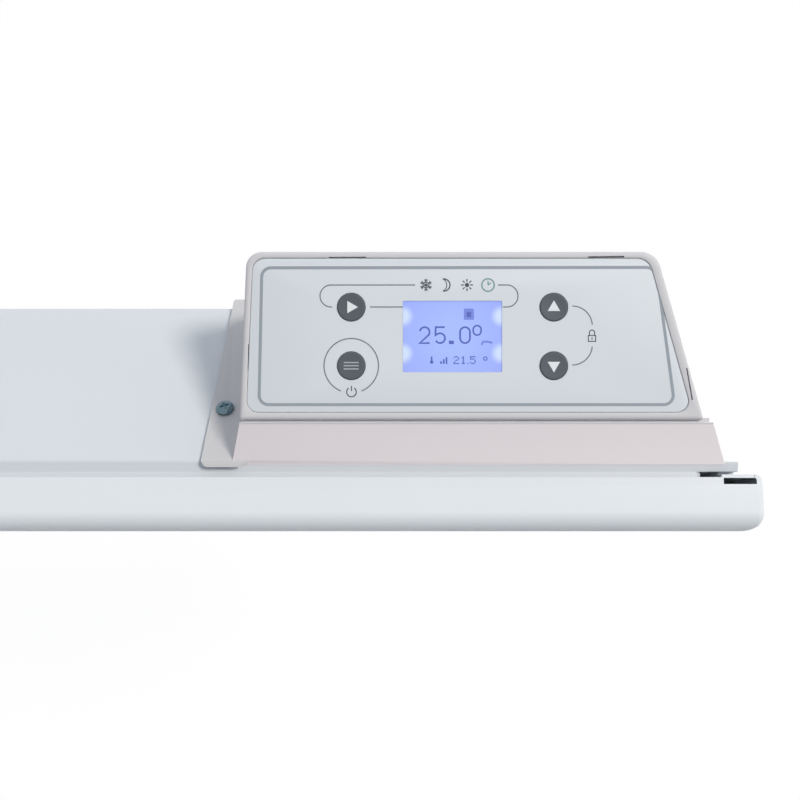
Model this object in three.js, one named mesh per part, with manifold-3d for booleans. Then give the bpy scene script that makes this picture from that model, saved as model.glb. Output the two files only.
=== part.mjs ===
// A slim wall-hung panel convector heater with a tilted display and keypad on its top right corner.
// Millimetres, +Z up, +X to the right seen from the front, +Y into the wall.
// The origin is the centre of the wall bracket's back face.
import * as THREE from "three";
import { mergeVertices } from "three/addons/utils/BufferGeometryUtils.js";
import Module from "manifold-3d";

const wasm = await Module();
wasm.setup();

// ---- Driving sizes ----

// Whole heater
const width = 640; // front panel, side to side
const height = 400; // front panel, bottom to top
const depth = 107; // wall to front face
const sheet = 1.2; // painted steel sheet
const seat = 0.3; // gap between pieces that rest on each other
const roundSteps = 3; // straight steps in a rounded sheet corner

// Front panel
const returnDepth = 19.1; // front face to the rear edge of the top and bottom returns
const sideReturnDepth = 20.1; // front face to the rear face of the side flanges
const sideFlange = 14.7; // width of the inward flange on each side return
const edgeRadius = 7; // front edges
const edgeSteps = 4;
const cornerRadius = 3; // corners seen from the front
const notchWidth = 11.4; // notch in each end of the top return
const notchDepth = 2.45;
const outletSlotLength = 52;
const outletSlotWidth = 5.5;
const outletPitch = 64;
const outletRowPitch = 11;
const outletRows = 3;
const outletTopMargin = 26; // top of the panel to the first row of outlet slots

// Rear casing
const backGap = 14; // wall to the back plate
const rimWidth = 597; // tongue that tucks behind the front panel's top and bottom returns
const rimReach = 11; // how far the tongue reaches under those returns
const hemWidth = 623.2; // folded hem down both sides
const hemGap = 1; // front panel's side flange to the hem
const stripDepth = 5.6; // level strip between the front panel's return and the ramp
const rampDrop = 47.2; // fall of the ramp from the strip to the back plate
const tubWidth = 609; // side walls where they start
const sideTaper = 19.5; // how far each side wall leans in on its way to the back plate
const tubRadius = 4;
const inletSlotLength = 40;
const inletSlotWidth = 5;
const inletPitch = 52;
const inletRowPitch = 14;
const inletRows = 3;

// Control head: a flat face that tilts to the front, with its own frame centred on the display
const displayFromEnd = 111.3; // right end of the front panel to the middle of the display
const displayFromFront = 66.7; // front face of the heater to the middle of the display
const displayRise = 15; // top of the front panel to the middle of the display
const faceTilt = 8; // degrees
const faceFront = 28.8; // middle of the display to the front edge of the frame
const faceBack = 29.3;
const faceLeft = 73.5; // at the front edge
const faceRight = 86.8; // at the front edge
const leftRake = 2.4; // how much further in the left edge is at the back
const rightRake = 16.4;
const frameHeight = 9.3;
const frameProud = 0.3; // frame above the fascia plate
const frameBevel = 0.8;
const borderFront = 2.6; // frame left showing round the plate
const borderBack = 2.3;
const borderLeft = 2.3;
const borderRight = 3.4;
const ledgeWidth = 2.2; // ledge under the fascia plate
const frameWall = 2;
const frameRadii = [2, 2, 7, 5.5]; // corners, front left first
const plateRadii = [4, 4, 5.5, 4.5];
const plateThickness = 1.5;
const screenWidth = 34.1;
const screenDepth = 24.5;
const windowThickness = 1;
const moduleMargin = 3.5; // display module beyond the window, each way
const boardThickness = 1.6;
const boardDrop = 7; // top of the fascia plate to the display board
const keyRadius = 4.9;
const keySpanX = 69.8; // left keys to right keys
const keySpanY = 20.2;
const keyTravel = 0.4;
const keyProud = 0.4;
const keyFlangeRadius = 6;
const keyFlangeThickness = 0.9;
const keyStemRadius = 1.8;
const keyRunning = 0.25; // clearance round a key
const keyEdge = 0.7; // rounded rim
const keyDish = 0.25;
const switchSide = 6;
const switchHeight = 2.2;
const plungerRadius = 1.5;
const plungerHeight = 0.6;

// Control base
const baseWall = 2.2;
const baseInset = 0.8; // base walls inside the frame's outline
const seamGap = 0.8; // dark seam between the frame and the base's front lip
const lipDrop = 1.2; // fascia plane to the top of the front lip
const lipLeftSpread = 4.1; // how much the sloping front widens on its way down
const lipRightSpread = 7.5;
const lipRightStep = 3.7; // front lip beyond the frame on the right
const lipThickness = 0.7;
const lipDraft = 0.2;
const lipFootHeight = 0.8;
const footReach = 1.1; // foot of the sloping front beyond the ramp, over the strip
const skirtHeight = 8; // low skirt that follows the ramp
const skirtRightReach = 1.9; // skirt's back corner beyond the casing's side wall
const flangeReach = 15.2; // screw flange beyond the frame's front left corner
const flangeThickness = 1.8;
const flangeOverhang = 3.8; // past the back edge of the ramp
const flangeScrewFromWall = 12;
const flangeScrewFromDisplay = 22.9;
const flangeTip = 2.2; // past the front edge of the ramp, over the strip
const cableWindowWidth = 70; // opening in the ramp under the base
const cableWindowDepth = 24;
const cableWindowShift = 6; // middle of the display to the middle of the opening
const cableWindowLip = 2; // how much smaller the opening in the base's floor is, each way
const rearScrewFromPlate = 16;

// Screws
const screwHeadRadius = 3.4;
const screwHeadHeight = 1.9;
const screwShankRadius = 1.6;
const screwLength = 8;
const screwHole = 0.3; // clearance round a shank
const screwSlot = 0.9; // width of the cross recess
const screwSlotDepth = 1;
const innerScrewLength = 5;
const earthScrewLength = 6;
const casingScrewPitch = 220;

// Heating element and its supports
const hotInset = 23; // left edge of the back plate to the finned element
const hotClearance = 40; // element to the partition
const elementRise = 46.3; // lower edge of the back plate to the element's axis
const elementDepth = 60; // wall to the element's axis
const coreRadius = 7;
const finReach = 24; // axis to fin tip
const finThickness = 2;
const finAngle = 35; // degrees above and below the level
const pinRadius = 3.2;
const pinLength = 26;
const pinInset = 12; // how far a pin runs inside the core
const bushRadius = 7;
const bushShoulder = 1.5;
const bushLength = 6;
const bracketWidth = 34;
const bracketSetback = 9; // end of the element to its bracket
const deflectorGap = 12; // back plate to the deflector
const deflectorBelow = 33.3; // upper edge of the back plate to the deflector
const deflectorRise = 21.3; // lower edge of the back plate to the deflector
const deflectorFold = 10; // folded feet of the deflector
const partitionFoot = 12;
const partitionFootRise = 20;
const cutoutRadius = 8;
const cutoutHeight = 9;
const cutoutRim = 2;
const cutoutFromEnd = 58; // right end of the element to the cut-out
const cutoutRise = 62; // element axis to the cut-out
const tabReach = 7;
const tabHalf = 2.4;
const tabOffset = 3;
const tabThickness = 0.8;
const grommetHole = 6;
const grommetRise = 38; // element axis to the hole for the leads

// Power electronics beside the hot section
const boardInset = 17; // right edge of the back plate to the board
const boardWidth = 92;
const boardHeight = 120;
const boardBelow = 83.3; // upper edge of the back plate to the board
const boardFromPartition = 18;
const trayMargin = 3;
const trayThickness = 2;
const postHeight = 8;
const postRadius = 3.5;
const postInset = 7;
const relayWidth = 29;
const relayDepth = 15;
const relayHeight = 12.7;
const relayInset = 16;
const relayBelow = 44;
const relayStep = 1.2;
const terminalWidth = 36;
const terminalDepth = 14;
const terminalHeight = 13;
const terminalWays = 5;
const terminalRise = 4;
const terminalScrewRadius = 2;
const terminalScrewDepth = 3;
const terminalEntry = 3.8;
const terminalEntryDepth = 5;
const terminalEntryShare = 0.4; // board to the entries, as a share of the block's height
const capacitorWidth = 18;
const capacitorDepth = 12;
const capacitorHeight = 8.5;
const capacitorBelow = 26; // relay to the capacitor
const capacitorFoot = 2;
const capacitorStandOff = 0.8;
const transformerSide = 24;
const transformerHeight = 17;
const transformerInset = 12;
const transformerBelow = 4;
const coreSetback = 2;
const bobbinShare = 0.22; // part of the transformer's side that the core leaves free
const leadRadius = 1.2;
const leadBend = 6; // room that a lead takes for a bend
const ribbonWidth = 12;
const ribbonThickness = 0.8;

// Supply inlet and earth point on the back plate, room sensor on the sloping underside
const inletInset = 59; // right edge of the back plate to the spigot's axis
const inletUp = 39.3; // lower edge of the back plate to the spigot's axis
const inletWidth = 22;
const inletRise = 12; // spigot's axis to the top of the elbow
const inletDrop = 22; // spigot's axis to the elbow's mouth
const inletWallGap = 2; // wall to the elbow
const inletBore = 3.8; // radius, for a three-core cord
const spigotRadius = 8;
const spigotInside = 9; // reach of the spigot inside the back plate
const nutRadius = 12;
const nutThickness = 4;
const sensorInset = 9; // right edge of the back plate to the sensor
const sensorRadius = 2.4;
const sensorReach = 9; // tip below the underside
const sensorCollar = 4.2;
const sensorCollarReach = 2.5;
const sensorFlange = 6;
const sensorFlangeThickness = 1.6;
const earthBeside = 30; // inlet's axis to the earth screw
const earthAbove = 20;

// Wall bracket, hooks, quarter-turn latches and rubber feet
const bracketSheet = 1.5;
const uprightInset = 109; // edge of the back plate to the middle of an upright
const uprightWidth = 34;
const bracketBelow = 11.3; // upper edge of the back plate to the bracket's
const bracketFoot = 11; // latch axis to the bracket's lower edge
const railHeight = 44;
const wallScrewRadius = 3;
const wallScrewBelow = 50; // ends of the uprights to the wall screws
const wallScrewAbove = 95;
const hookWidth = 16;
const hookBelow = 33.3; // upper edge of the back plate to the hooks
const hookTip = 8;
const hookPlay = 0.6; // inside of the hook to the back plate
const hookSlotPlay = 1;
const hookSlotDrop = 13;
const latchBelow = 14.7; // lower edge of the back plate to the latch's axis
const latchStemRadius = 2.7;
const latchHeadLength = 17;
const latchHeadWidth = 6;
const latchHeadThickness = 3.2;
const latchPlay = 0.3;
const latchFlangeRadius = 4.2;
const latchFlangeThickness = 1.8;
const bossRadius = 7.5;
const earWidth = 30;
const earDrop = 21;
const footRadius = 9;
const footInset = 21; // edge of the back plate to a foot
const footRise = 10.5; // lower edge of the back plate to a foot's middle
const footStem = 3;
const footEdge = 1;
const footBarb = 1;
const footBarbLength = 3;

// ---- Worked-out places ----

const frontY = -depth;
const topZ = height / 2;
const returnBackY = frontY + returnDepth;
const flangeBackY = frontY + sideReturnDepth;
const rimZ = topZ - sheet - seat; // outside of the casing's rim, top and bottom
const hemFrontY = flangeBackY + hemGap;
const rampFrontY = returnBackY + stripDepth;
const backY = -backGap;
const rampSlope = rampDrop / (backY - rampFrontY);
const rampAngle = Math.atan(rampSlope);
const taperSlope = sideTaper / (backY - rampFrontY);
const plateTopZ = rimZ - rampDrop; // top edge of the back plate
const backInnerY = backY - sheet;
const frontInnerY = frontY + sheet;
const plateHalf = tubWidth / 2 - sideTaper; // middle to the side edges of the back plate
const displayX = width / 2 - displayFromEnd;
const displayY = frontY + displayFromFront;
const displayZ = topZ + displayRise;
const tilt = THREE.MathUtils.degToRad(faceTilt);

const boardRight = plateHalf - boardInset;
const boardLeft = boardRight - boardWidth;
const boardTop = plateTopZ - boardBelow;
const partitionX = boardLeft - boardFromPartition;
const hotLeft = hotInset - plateHalf;
const hotRight = partitionX - hotClearance;
const elementHeight = elementRise - plateTopZ;
const deflectorTop = plateTopZ - deflectorBelow;
const deflectorBottom = deflectorRise - plateTopZ;
const cutoutX = hotRight - cutoutFromEnd;
const inletX = plateHalf - inletInset;
const inletZ = inletUp - plateTopZ;
const sensorX = plateHalf - sensorInset;
const earthX = inletX - earthBeside;
const earthZ = inletZ + earthAbove;
const uprightX = plateHalf - uprightInset;
const hookHeight = plateTopZ - hookBelow;
const latchZ = -plateTopZ - latchBelow;
const bracketTop = plateTopZ - bracketBelow;
const bracketBottom = latchZ - bracketFoot;
const footX = plateHalf - footInset;
const footZ = footRise - plateTopZ;

// Height of the outside of the ramp, and of the side wall, at a place on the way to the wall
const rampZ = (y) => rimZ - (y - rampFrontY) * rampSlope;
const tubX = (y) => tubWidth / 2 - (y - rampFrontY) * taperSlope;
// A point of the tilted face: v runs up the face, w out of it
const faceY = (v, w) => displayY + v * Math.cos(tilt) - w * Math.sin(tilt);
const faceZ = (v, w) => displayZ + v * Math.sin(tilt) + w * Math.cos(tilt);

// ---- Materials ----

const finish = (color, roughness, metalness = 0) =>
  new THREE.MeshStandardMaterial({ color, roughness, metalness });
const whitePaint = finish(0xe0e4e6, 0.4);
const whitePlastic = finish(0xd6d2d4, 0.5);
const platePaint = finish(0xd2d8de, 0.35);
const screenBlue = finish(0xaebefc, 0.2);
const keyGrey = finish(0x5a6068, 0.5);
const zincSteel = finish(0xa9adb2, 0.35, 0.9);
const aluminium = finish(0xb8babd, 0.4, 0.9);
const greenBoard = finish(0x2f6b45, 0.6);
const blackPlastic = finish(0x2b2d30, 0.6);
const greyPlastic = finish(0x8d9297, 0.6);
const ceramicWhite = finish(0xe8e4da, 0.7);
const blackRubber = finish(0x242424, 0.85);
const copperBrown = finish(0x7a4a2a, 0.6);
const leadBlue = finish(0x2f4f8f, 0.6);
const leadGreen = finish(0x6a8f2f, 0.6);
const leadGrey = finish(0xb9bcc0, 0.6);

// ---- Shape helpers ----

// The closed solid of a geometry, for joining and cutting
function solid(geometry) {
  const bare = geometry.clone();
  bare.deleteAttribute("normal");
  bare.deleteAttribute("uv");
  const merged = mergeVertices(bare, 1e-4);
  return new wasm.Manifold(
    new wasm.Mesh({
      numProp: 3,
      vertProperties: new Float32Array(merged.attributes.position.array),
      triVerts: new Uint32Array(merged.index.array),
    }),
  );
}

const join = (first, ...others) => others.reduce((whole, other) => whole.add(other), first);
const cut = (first, ...others) => others.reduce((whole, other) => whole.subtract(other), first);

// A named mesh from a solid
function piece(name, body, material) {
  const { numProp, vertProperties, triVerts } = body.getMesh();
  const position = new Float32Array((vertProperties.length / numProp) * 3);
  for (let i = 0; i < position.length / 3; i++)
    position.set(vertProperties.subarray(i * numProp, i * numProp + 3), i * 3);
  const geometry = new THREE.BufferGeometry();
  geometry.setAttribute("position", new THREE.BufferAttribute(position, 3));
  geometry.setIndex(new THREE.BufferAttribute(new Uint32Array(triVerts), 1));
  geometry.computeVertexNormals();
  const mesh = new THREE.Mesh(geometry, material);
  mesh.name = name;
  return mesh;
}

// A box given by its lowest and highest corners
function box([x0, y0, z0], [x1, y1, z1]) {
  const geometry = new THREE.BoxGeometry(x1 - x0, y1 - y0, z1 - z0);
  return solid(geometry.translate((x0 + x1) / 2, (y0 + y1) / 2, (z0 + z1) / 2));
}

// A straight round bar between two points
function rod(from, to, radius, sides = 20, endRadius = radius) {
  const a = new THREE.Vector3(...from);
  const b = new THREE.Vector3(...to);
  const along = b.clone().sub(a);
  const geometry = new THREE.CylinderGeometry(endRadius, radius, along.length(), sides);
  const up = new THREE.Vector3(0, 1, 0);
  geometry.applyQuaternion(new THREE.Quaternion().setFromUnitVectors(up, along.normalize()));
  const middle = a.add(b).multiplyScalar(0.5);
  return solid(geometry.translate(middle.x, middle.y, middle.z));
}

// A closed outline through [x, y] corners, each rounded by its own radius
function outline(corners, radii) {
  const shape = new THREE.Shape();
  corners.forEach(([x, y], i) => {
    const corner = new THREE.Vector2(x, y);
    const before = new THREE.Vector2(...corners.at(i - 1));
    const after = new THREE.Vector2(...corners[(i + 1) % corners.length]);
    const radius = Array.isArray(radii) ? radii[i] : radii;
    const enter = before.sub(corner).setLength(radius).add(corner);
    const leave = after.sub(corner).setLength(radius).add(corner);
    if (i === 0) shape.moveTo(enter.x, enter.y);
    else shape.lineTo(enter.x, enter.y);
    if (radius > 0) shape.quadraticCurveTo(x, y, leave.x, leave.y);
  });
  shape.closePath();
  return shape;
}

const rectangle = (halfWidth, halfHeight, radius = 0) =>
  outline(
    [
      [-halfWidth, -halfHeight],
      [halfWidth, -halfHeight],
      [halfWidth, halfHeight],
      [-halfWidth, halfHeight],
    ],
    radius,
  );

// A flat outline thickened from one height to another
function slab(shape, low, high, curveSegments = 4) {
  const geometry = new THREE.ExtrudeGeometry(shape, {
    depth: high - low,
    bevelEnabled: false,
    curveSegments,
  });
  return solid(geometry.translate(0, 0, low));
}

// The same, standing up: the outline's y becomes height and the thickness runs to the wall
function standingSlab(shape, frontFace, backFace, curveSegments = 4) {
  const geometry = new THREE.ExtrudeGeometry(shape, {
    depth: backFace - frontFace,
    bevelEnabled: false,
    curveSegments,
  });
  geometry.rotateX(Math.PI / 2);
  return solid(geometry.translate(0, backFace, 0));
}

// A slot with round ends, lying along x
function slotShape(length, slotWidth) {
  const straight = (length - slotWidth) / 2;
  const shape = new THREE.Shape();
  shape.absarc(straight, 0, slotWidth / 2, -Math.PI / 2, Math.PI / 2);
  shape.absarc(-straight, 0, slotWidth / 2, Math.PI / 2, (3 * Math.PI) / 2);
  shape.closePath();
  return shape;
}

// One ring of a skin that is wrapped over sections from front to back
function ring(y, left, right, low, high, radius, steps = roundSteps) {
  const points = [];
  const corners = [
    [left + radius, low + radius, Math.PI],
    [right - radius, low + radius, 1.5 * Math.PI],
    [right - radius, high - radius, 0],
    [left + radius, high - radius, 0.5 * Math.PI],
  ];
  for (const [x, z, start] of corners)
    for (let i = 0; i <= (radius > 0 ? steps : 0); i++) {
      const angle = start + (i / steps) * (Math.PI / 2);
      points.push([x + radius * Math.cos(angle), y, z + radius * Math.sin(angle)]);
    }
  return points;
}

// The closed solid wrapped over rings of equally many points, front ring first
function wrap(rings) {
  const count = rings[0].length;
  const index = [];
  for (let r = 0; r < rings.length - 1; r++)
    for (let i = 0; i < count; i++) {
      const a = r * count + i;
      const b = r * count + ((i + 1) % count);
      index.push(a, b + count, b, a, a + count, b + count);
    }
  const last = (rings.length - 1) * count;
  for (let i = 1; i < count - 1; i++)
    index.push(0, i, i + 1, last, last + i + 1, last + i);
  const geometry = new THREE.BufferGeometry();
  geometry.setAttribute("position", new THREE.Float32BufferAttribute(rings.flat(2), 3));
  geometry.setIndex(index);
  return solid(geometry);
}

// A wire of round section through hand-chosen points
function wire(points, radius, steps = 24, sides = 6) {
  const section = new THREE.Shape().absarc(0, 0, radius, 0, 2 * Math.PI);
  const path = new THREE.CatmullRomCurve3(points.map((p) => new THREE.Vector3(...p)));
  return solid(
    new THREE.ExtrudeGeometry(section, { steps, extrudePath: path, curveSegments: sides / 2 }),
  );
}

// A pan-head screw: its head's underside is at the origin and its shank points down
function screw(length = screwLength) {
  const head = new THREE.LatheGeometry(
    [
      new THREE.Vector2(0, -length),
      new THREE.Vector2(screwShankRadius * 0.6, -length),
      new THREE.Vector2(screwShankRadius, -length + screwShankRadius),
      new THREE.Vector2(screwShankRadius, 0),
      new THREE.Vector2(screwHeadRadius, 0),
      new THREE.Vector2(screwHeadRadius * 0.95, screwHeadHeight * 0.5),
      new THREE.Vector2(screwHeadRadius * 0.7, screwHeadHeight * 0.88),
      new THREE.Vector2(0, screwHeadHeight),
    ],
    14,
  ).rotateX(Math.PI / 2);
  const reach = screwHeadRadius * 0.6;
  const deep = screwHeadHeight - screwSlotDepth;
  const half = screwSlot / 2;
  return cut(
    solid(head),
    box([-reach, -half, deep], [reach, half, screwHeadHeight + 1]),
    box([-half, -reach, deep], [half, reach, screwHeadHeight + 1]),
  );
}

// Places a mesh: where it is, and how it is turned about x, y and z
function placed(mesh, [x, y, z], [turnX, turnY, turnZ] = [0, 0, 0]) {
  mesh.position.set(x, y, z);
  mesh.rotation.set(turnX, turnY, turnZ);
  return mesh;
}

const heater = new THREE.Group();

// ---- Front panel ----

// The outside of the pressed tray, or its inside when the sheet is taken off
function trayBody(inset, backFace) {
  const rings = [];
  for (let i = 0; i <= edgeSteps; i++) {
    const angle = (i / edgeSteps) * (Math.PI / 2);
    const radius = edgeRadius - inset;
    const draw = inset + radius * (1 - Math.sin(angle));
    const y = frontY + inset + radius * (1 - Math.cos(angle));
    const corner = Math.max(cornerRadius - draw, 0.5);
    rings.push(ring(y, -width / 2 + draw, width / 2 - draw, -topZ + draw, topZ - draw, corner));
  }
  rings.push(
    ring(
      backFace,
      -width / 2 + inset,
      width / 2 - inset,
      -topZ + inset,
      topZ - inset,
      cornerRadius - inset,
    ),
  );
  return wrap(rings);
}

function outletSlots() {
  const slots = [];
  const shape = slotShape(outletSlotLength, outletSlotWidth);
  const span = hotRight - hotLeft;
  const count = Math.floor((span - outletSlotLength) / outletPitch) + 1;
  const first = (hotLeft + hotRight - (count - 1) * outletPitch) / 2;
  for (let row = 0; row < outletRows; row++)
    for (let i = 0; i < count; i++) {
      const z = topZ - outletTopMargin - row * outletRowPitch;
      slots.push(
        standingSlab(shape, frontY - 1, frontInnerY + 1, 3).translate(
          first + i * outletPitch,
          0,
          z,
        ),
      );
    }
  return slots;
}

const sideFlangeFrontY = flangeBackY - sheet;
const flangeEndX = width / 2 - sideFlange;
const casingScrewY = (returnBackY + frontY + edgeRadius + returnDepth - rimReach) / 2;
const casingScrewXs = [-casingScrewPitch, 0, casingScrewPitch];

function frontPanel() {
  const skin = cut(trayBody(0, flangeBackY), trayBody(sheet, flangeBackY + 1));
  // Top and bottom returns stop short of the side flanges' rear faces
  const behind = 2;
  const trims = [-1, 1].map((side) =>
    box(
      [-width / 2 + cornerRadius, returnBackY, side > 0 ? topZ - cornerRadius : -topZ - 1],
      [width / 2 - cornerRadius, flangeBackY + behind, side > 0 ? topZ + 1 : -topZ + cornerRadius],
    ),
  );
  const flanges = [-1, 1].map((side) => {
    const outer = side * (width / 2 - sheet / 2);
    const inner = side * flangeEndX;
    return box(
      [Math.min(outer, inner), sideFlangeFrontY, -topZ + cornerRadius],
      [Math.max(outer, inner), flangeBackY, topZ - sheet - seat],
    );
  });
  const notches = [-1, 1].map((side) => {
    const near = side * flangeEndX;
    const far = side * (flangeEndX + notchWidth);
    return box(
      [Math.min(near, far), returnBackY - notchDepth, topZ - sheet - 0.1],
      [Math.max(near, far), flangeBackY + behind, topZ + 1],
    );
  });
  const screwHoles = casingScrewXs.map((x) =>
    rod(
      [x, casingScrewY, -topZ - 1],
      [x, casingScrewY, -topZ + sheet + 1],
      screwShankRadius + screwHole,
      12,
    ),
  );
  return piece(
    "front_panel",
    cut(join(cut(skin, ...trims), ...flanges), ...notches, ...outletSlots(), ...screwHoles),
    whitePaint,
  );
}
heater.add(frontPanel());

// ---- Rear casing ----

const rampInset = sheet / Math.cos(rampAngle);
const sideInset = sheet / Math.cos(Math.atan(taperSlope));
const tongueFrontY = returnBackY - rimReach;

function tubBody(rampIn, sideIn, front, back) {
  return wrap(
    [front, rampFrontY, back].map((y) => {
      const halfX = tubX(Math.max(y, rampFrontY)) - sideIn;
      const halfZ = rampZ(Math.max(y, rampFrontY)) - rampIn;
      return ring(y, -halfX, halfX, -halfZ, halfZ, tubRadius);
    }),
  );
}

// A rectangular frame or block centred on the heater's axis
const centred = (halfX, halfZ, front, back) => box([-halfX, front, -halfZ], [halfX, back, halfZ]);

function inletSlots() {
  const slots = [];
  const shape = slotShape(inletSlotLength, inletSlotWidth);
  const count = Math.floor((hotRight - hotLeft) / inletPitch);
  const first = (hotLeft + hotRight - (count - 1) * inletPitch) / 2;
  const firstY = (rampFrontY + backY - (inletRows - 1) * inletRowPitch) / 2;
  for (let row = 0; row < inletRows; row++)
    for (let i = 0; i < count; i++) {
      const y = firstY + row * inletRowPitch;
      const slot = slab(shape, -rampZ(y) - 8, -rampZ(y) + 8, 3);
      slots.push(slot.translate(first + i * inletPitch, y, 0));
    }
  return slots;
}

// A point square off the outside of the sloping underside, positive outwards
const underside = (x, y, out) => [
  x,
  y + out * Math.sin(rampAngle),
  -rampZ(y) - out * Math.cos(rampAngle),
];
// The same, off the ramp
const aboveRamp = (x, y, out) => [
  x,
  y + out * Math.sin(rampAngle),
  rampZ(y) + out * Math.cos(rampAngle),
];

const sensorY = (rampFrontY + backY) / 2;

function backPlateOpenings() {
  const cuts = [];
  for (const side of [-1, 1]) {
    const half = hookWidth / 2 + hookSlotPlay;
    cuts.push(
      box(
        [side * uprightX - half, backInnerY - 1, hookHeight - hookSlotDrop],
        [side * uprightX + half, backY + 1, hookHeight + bracketSheet + seat],
      ),
    );
    cuts.push(
      rod(
        [side * footX, backInnerY - 1, footZ],
        [side * footX, backY + 1, footZ],
        footStem + screwHole,
        16,
      ),
    );
  }
  cuts.push(
    rod(
      [inletX, backInnerY - 1, inletZ],
      [inletX, backY + 1, inletZ],
      spigotRadius + seat,
      24,
    ),
    rod(
      [earthX, backInnerY - 1, earthZ],
      [earthX, backY + 1, earthZ],
      screwShankRadius + screwHole,
      12,
    ),
  );
  return cuts;
}

// Ears under the back plate that the quarter-turn latches hold
function latchEars() {
  return [-1, 1].map((side) => {
    const x = side * uprightX;
    const ear = box(
      [x - earWidth / 2, backInnerY, -plateTopZ - earDrop],
      [x + earWidth / 2, backY, -plateTopZ + 1],
    );
    const slot = standingSlab(
      slotShape(latchHeadLength + 2 * latchPlay, latchHeadWidth + 2 * latchPlay),
      backInnerY - 1,
      backY + 1,
    );
    return cut(ear, slot.translate(x, 0, latchZ));
  });
}

// The casing's ramp under the control base: cable window and the two fixing holes
const flangeScrewX = () => baseLeftX(0) - flangeScrewFromWall;
const flangeScrewY = displayY - flangeScrewFromDisplay;
const rearScrewX = displayX + faceRight / 2;
const rearScrewY = backY - rearScrewFromPlate;
const windowY = displayY + cableWindowShift;

// Round holes through the ramp, and through whatever lies on it, for the two fixing screws
const rampScrewHoles = () =>
  [
    [flangeScrewX(), flangeScrewY],
    [rearScrewX, rearScrewY],
  ].map(([x, y]) =>
    rod(aboveRamp(x, y, -6), aboveRamp(x, y, 6), screwShankRadius + screwHole, 12),
  );

const cableWindow = (lip) =>
  box(
    [displayX - cableWindowWidth / 2 + lip, windowY - cableWindowDepth / 2 + lip, plateTopZ],
    [displayX + cableWindowWidth / 2 - lip, windowY + cableWindowDepth / 2 - lip, topZ],
  );

function rearCasing() {
  const outside = join(
    centred(rimWidth / 2, rimZ, tongueFrontY, rampFrontY),
    centred(hemWidth / 2, rimZ, hemFrontY, rampFrontY),
    tubBody(0, 0, hemFrontY, backY),
  );
  const inside = join(
    centred(rimWidth / 2 - sheet, rimZ - sheet, tongueFrontY - 1, hemFrontY + 1),
    centred(hemWidth / 2 - sheet, rimZ - sheet, hemFrontY - 1, rampFrontY - sheet),
    tubBody(rampInset, sideInset, hemFrontY - 1, backInnerY),
  );
  const underHoles = casingScrewXs.map((x) =>
    rod(
      [x, casingScrewY, -rimZ - 1],
      [x, casingScrewY, -rimZ + sheet + 1],
      screwShankRadius + screwHole,
      12,
    ),
  );
  const sensorHole = rod(
    underside(sensorX, sensorY, -6),
    underside(sensorX, sensorY, 6),
    sensorCollar + seat,
    16,
  );
  return piece(
    "rear_casing",
    cut(
      join(cut(outside, inside), ...latchEars()),
      ...backPlateOpenings(),
      cableWindow(0),
      ...rampScrewHoles(),
      ...inletSlots(),
      ...underHoles,
      sensorHole,
    ),
    whitePaint,
  );
}

// ---- Control base ----

// Left and right edges of the frame's outline at a place up the face
const faceLeftX = (v) => displayX - faceLeft + ((v + faceFront) / (faceFront + faceBack)) * leftRake;
const faceRightX = (v) =>
  displayX + faceRight - ((v + faceFront) / (faceFront + faceBack)) * rightRake;
const baseLeftX = (v) => faceLeftX(v) + baseInset;
const baseRightX = (v) => faceRightX(v) - baseInset;
const vAt = (y) => (y - displayY) / Math.cos(tilt);
const baseBackY = backY - seat * 2;
const baseTopW = -frameHeight + frameProud - seat;
const floorZ = (y) => rampZ(Math.max(y, rampFrontY)) + seat / Math.cos(rampAngle);

// Room under the frame: a wedge between the tilted face and the ramp
function wedge(inset, frontFace, backFace, topW, floorLift) {
  return wrap(
    [frontFace, backFace].map((y) => {
      const v = vAt(y + topW * Math.sin(tilt));
      return ring(
        y,
        baseLeftX(v) + inset,
        baseRightX(v) - inset,
        floorZ(y) + floorLift,
        faceZ(v, topW),
        0,
      );
    }),
  );
}

const lipV = -faceFront - seamGap;
const lipTopY = faceY(lipV, -lipDrop);
const lipTopZ = faceZ(lipV, -lipDrop);
const wedgeFrontY = faceY(-faceFront + baseInset, baseTopW);

const skirtLeft = faceLeftX(-faceFront) - seat;

function frontSkirt() {
  const right = faceRightX(-faceFront) + lipRightStep;
  const footY = rampFrontY - footReach;
  const edgeY = lipTopY - lipThickness;
  const start = (rampFrontY - footY) / (edgeY - footY);
  const between = (from, to) => from + (to - from) * start;
  const innerY = faceY(lipV, baseTopW);
  const backRight = tubX(baseBackY) + skirtRightReach;
  return wrap([
    ring(
      footY,
      skirtLeft - lipLeftSpread,
      right + lipRightSpread,
      floorZ(footY),
      floorZ(footY) + lipFootHeight,
      0,
    ),
    ring(
      rampFrontY,
      skirtLeft - between(lipLeftSpread, 0),
      right + between(lipRightSpread, 0),
      floorZ(rampFrontY),
      between(floorZ(footY) + lipFootHeight, lipTopZ),
      0,
    ),
    ring(edgeY, skirtLeft, right, floorZ(edgeY), lipTopZ - lipDraft, 0),
    ring(lipTopY, skirtLeft, right, floorZ(lipTopY), lipTopZ, 0),
    ring(innerY, skirtLeft, right, floorZ(innerY), faceZ(lipV, baseTopW), 0),
    ring(
      baseBackY,
      baseLeftX(vAt(baseBackY)),
      backRight,
      floorZ(baseBackY),
      floorZ(baseBackY) + skirtHeight,
      0,
    ),
  ]);
}

function flange() {
  const backFace = backY + flangeOverhang;
  const station = (y, right) =>
    ring(
      y,
      displayX - faceLeft - flangeReach,
      right + baseWall,
      floorZ(y),
      floorZ(y) + flangeThickness / Math.cos(rampAngle),
      0,
    );
  return wrap([
    station(rampFrontY - flangeTip, skirtLeft - lipLeftSpread),
    station(rampFrontY, baseLeftX(vAt(rampFrontY))),
    station(backFace, baseLeftX(vAt(backFace))),
  ]);
}

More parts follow.
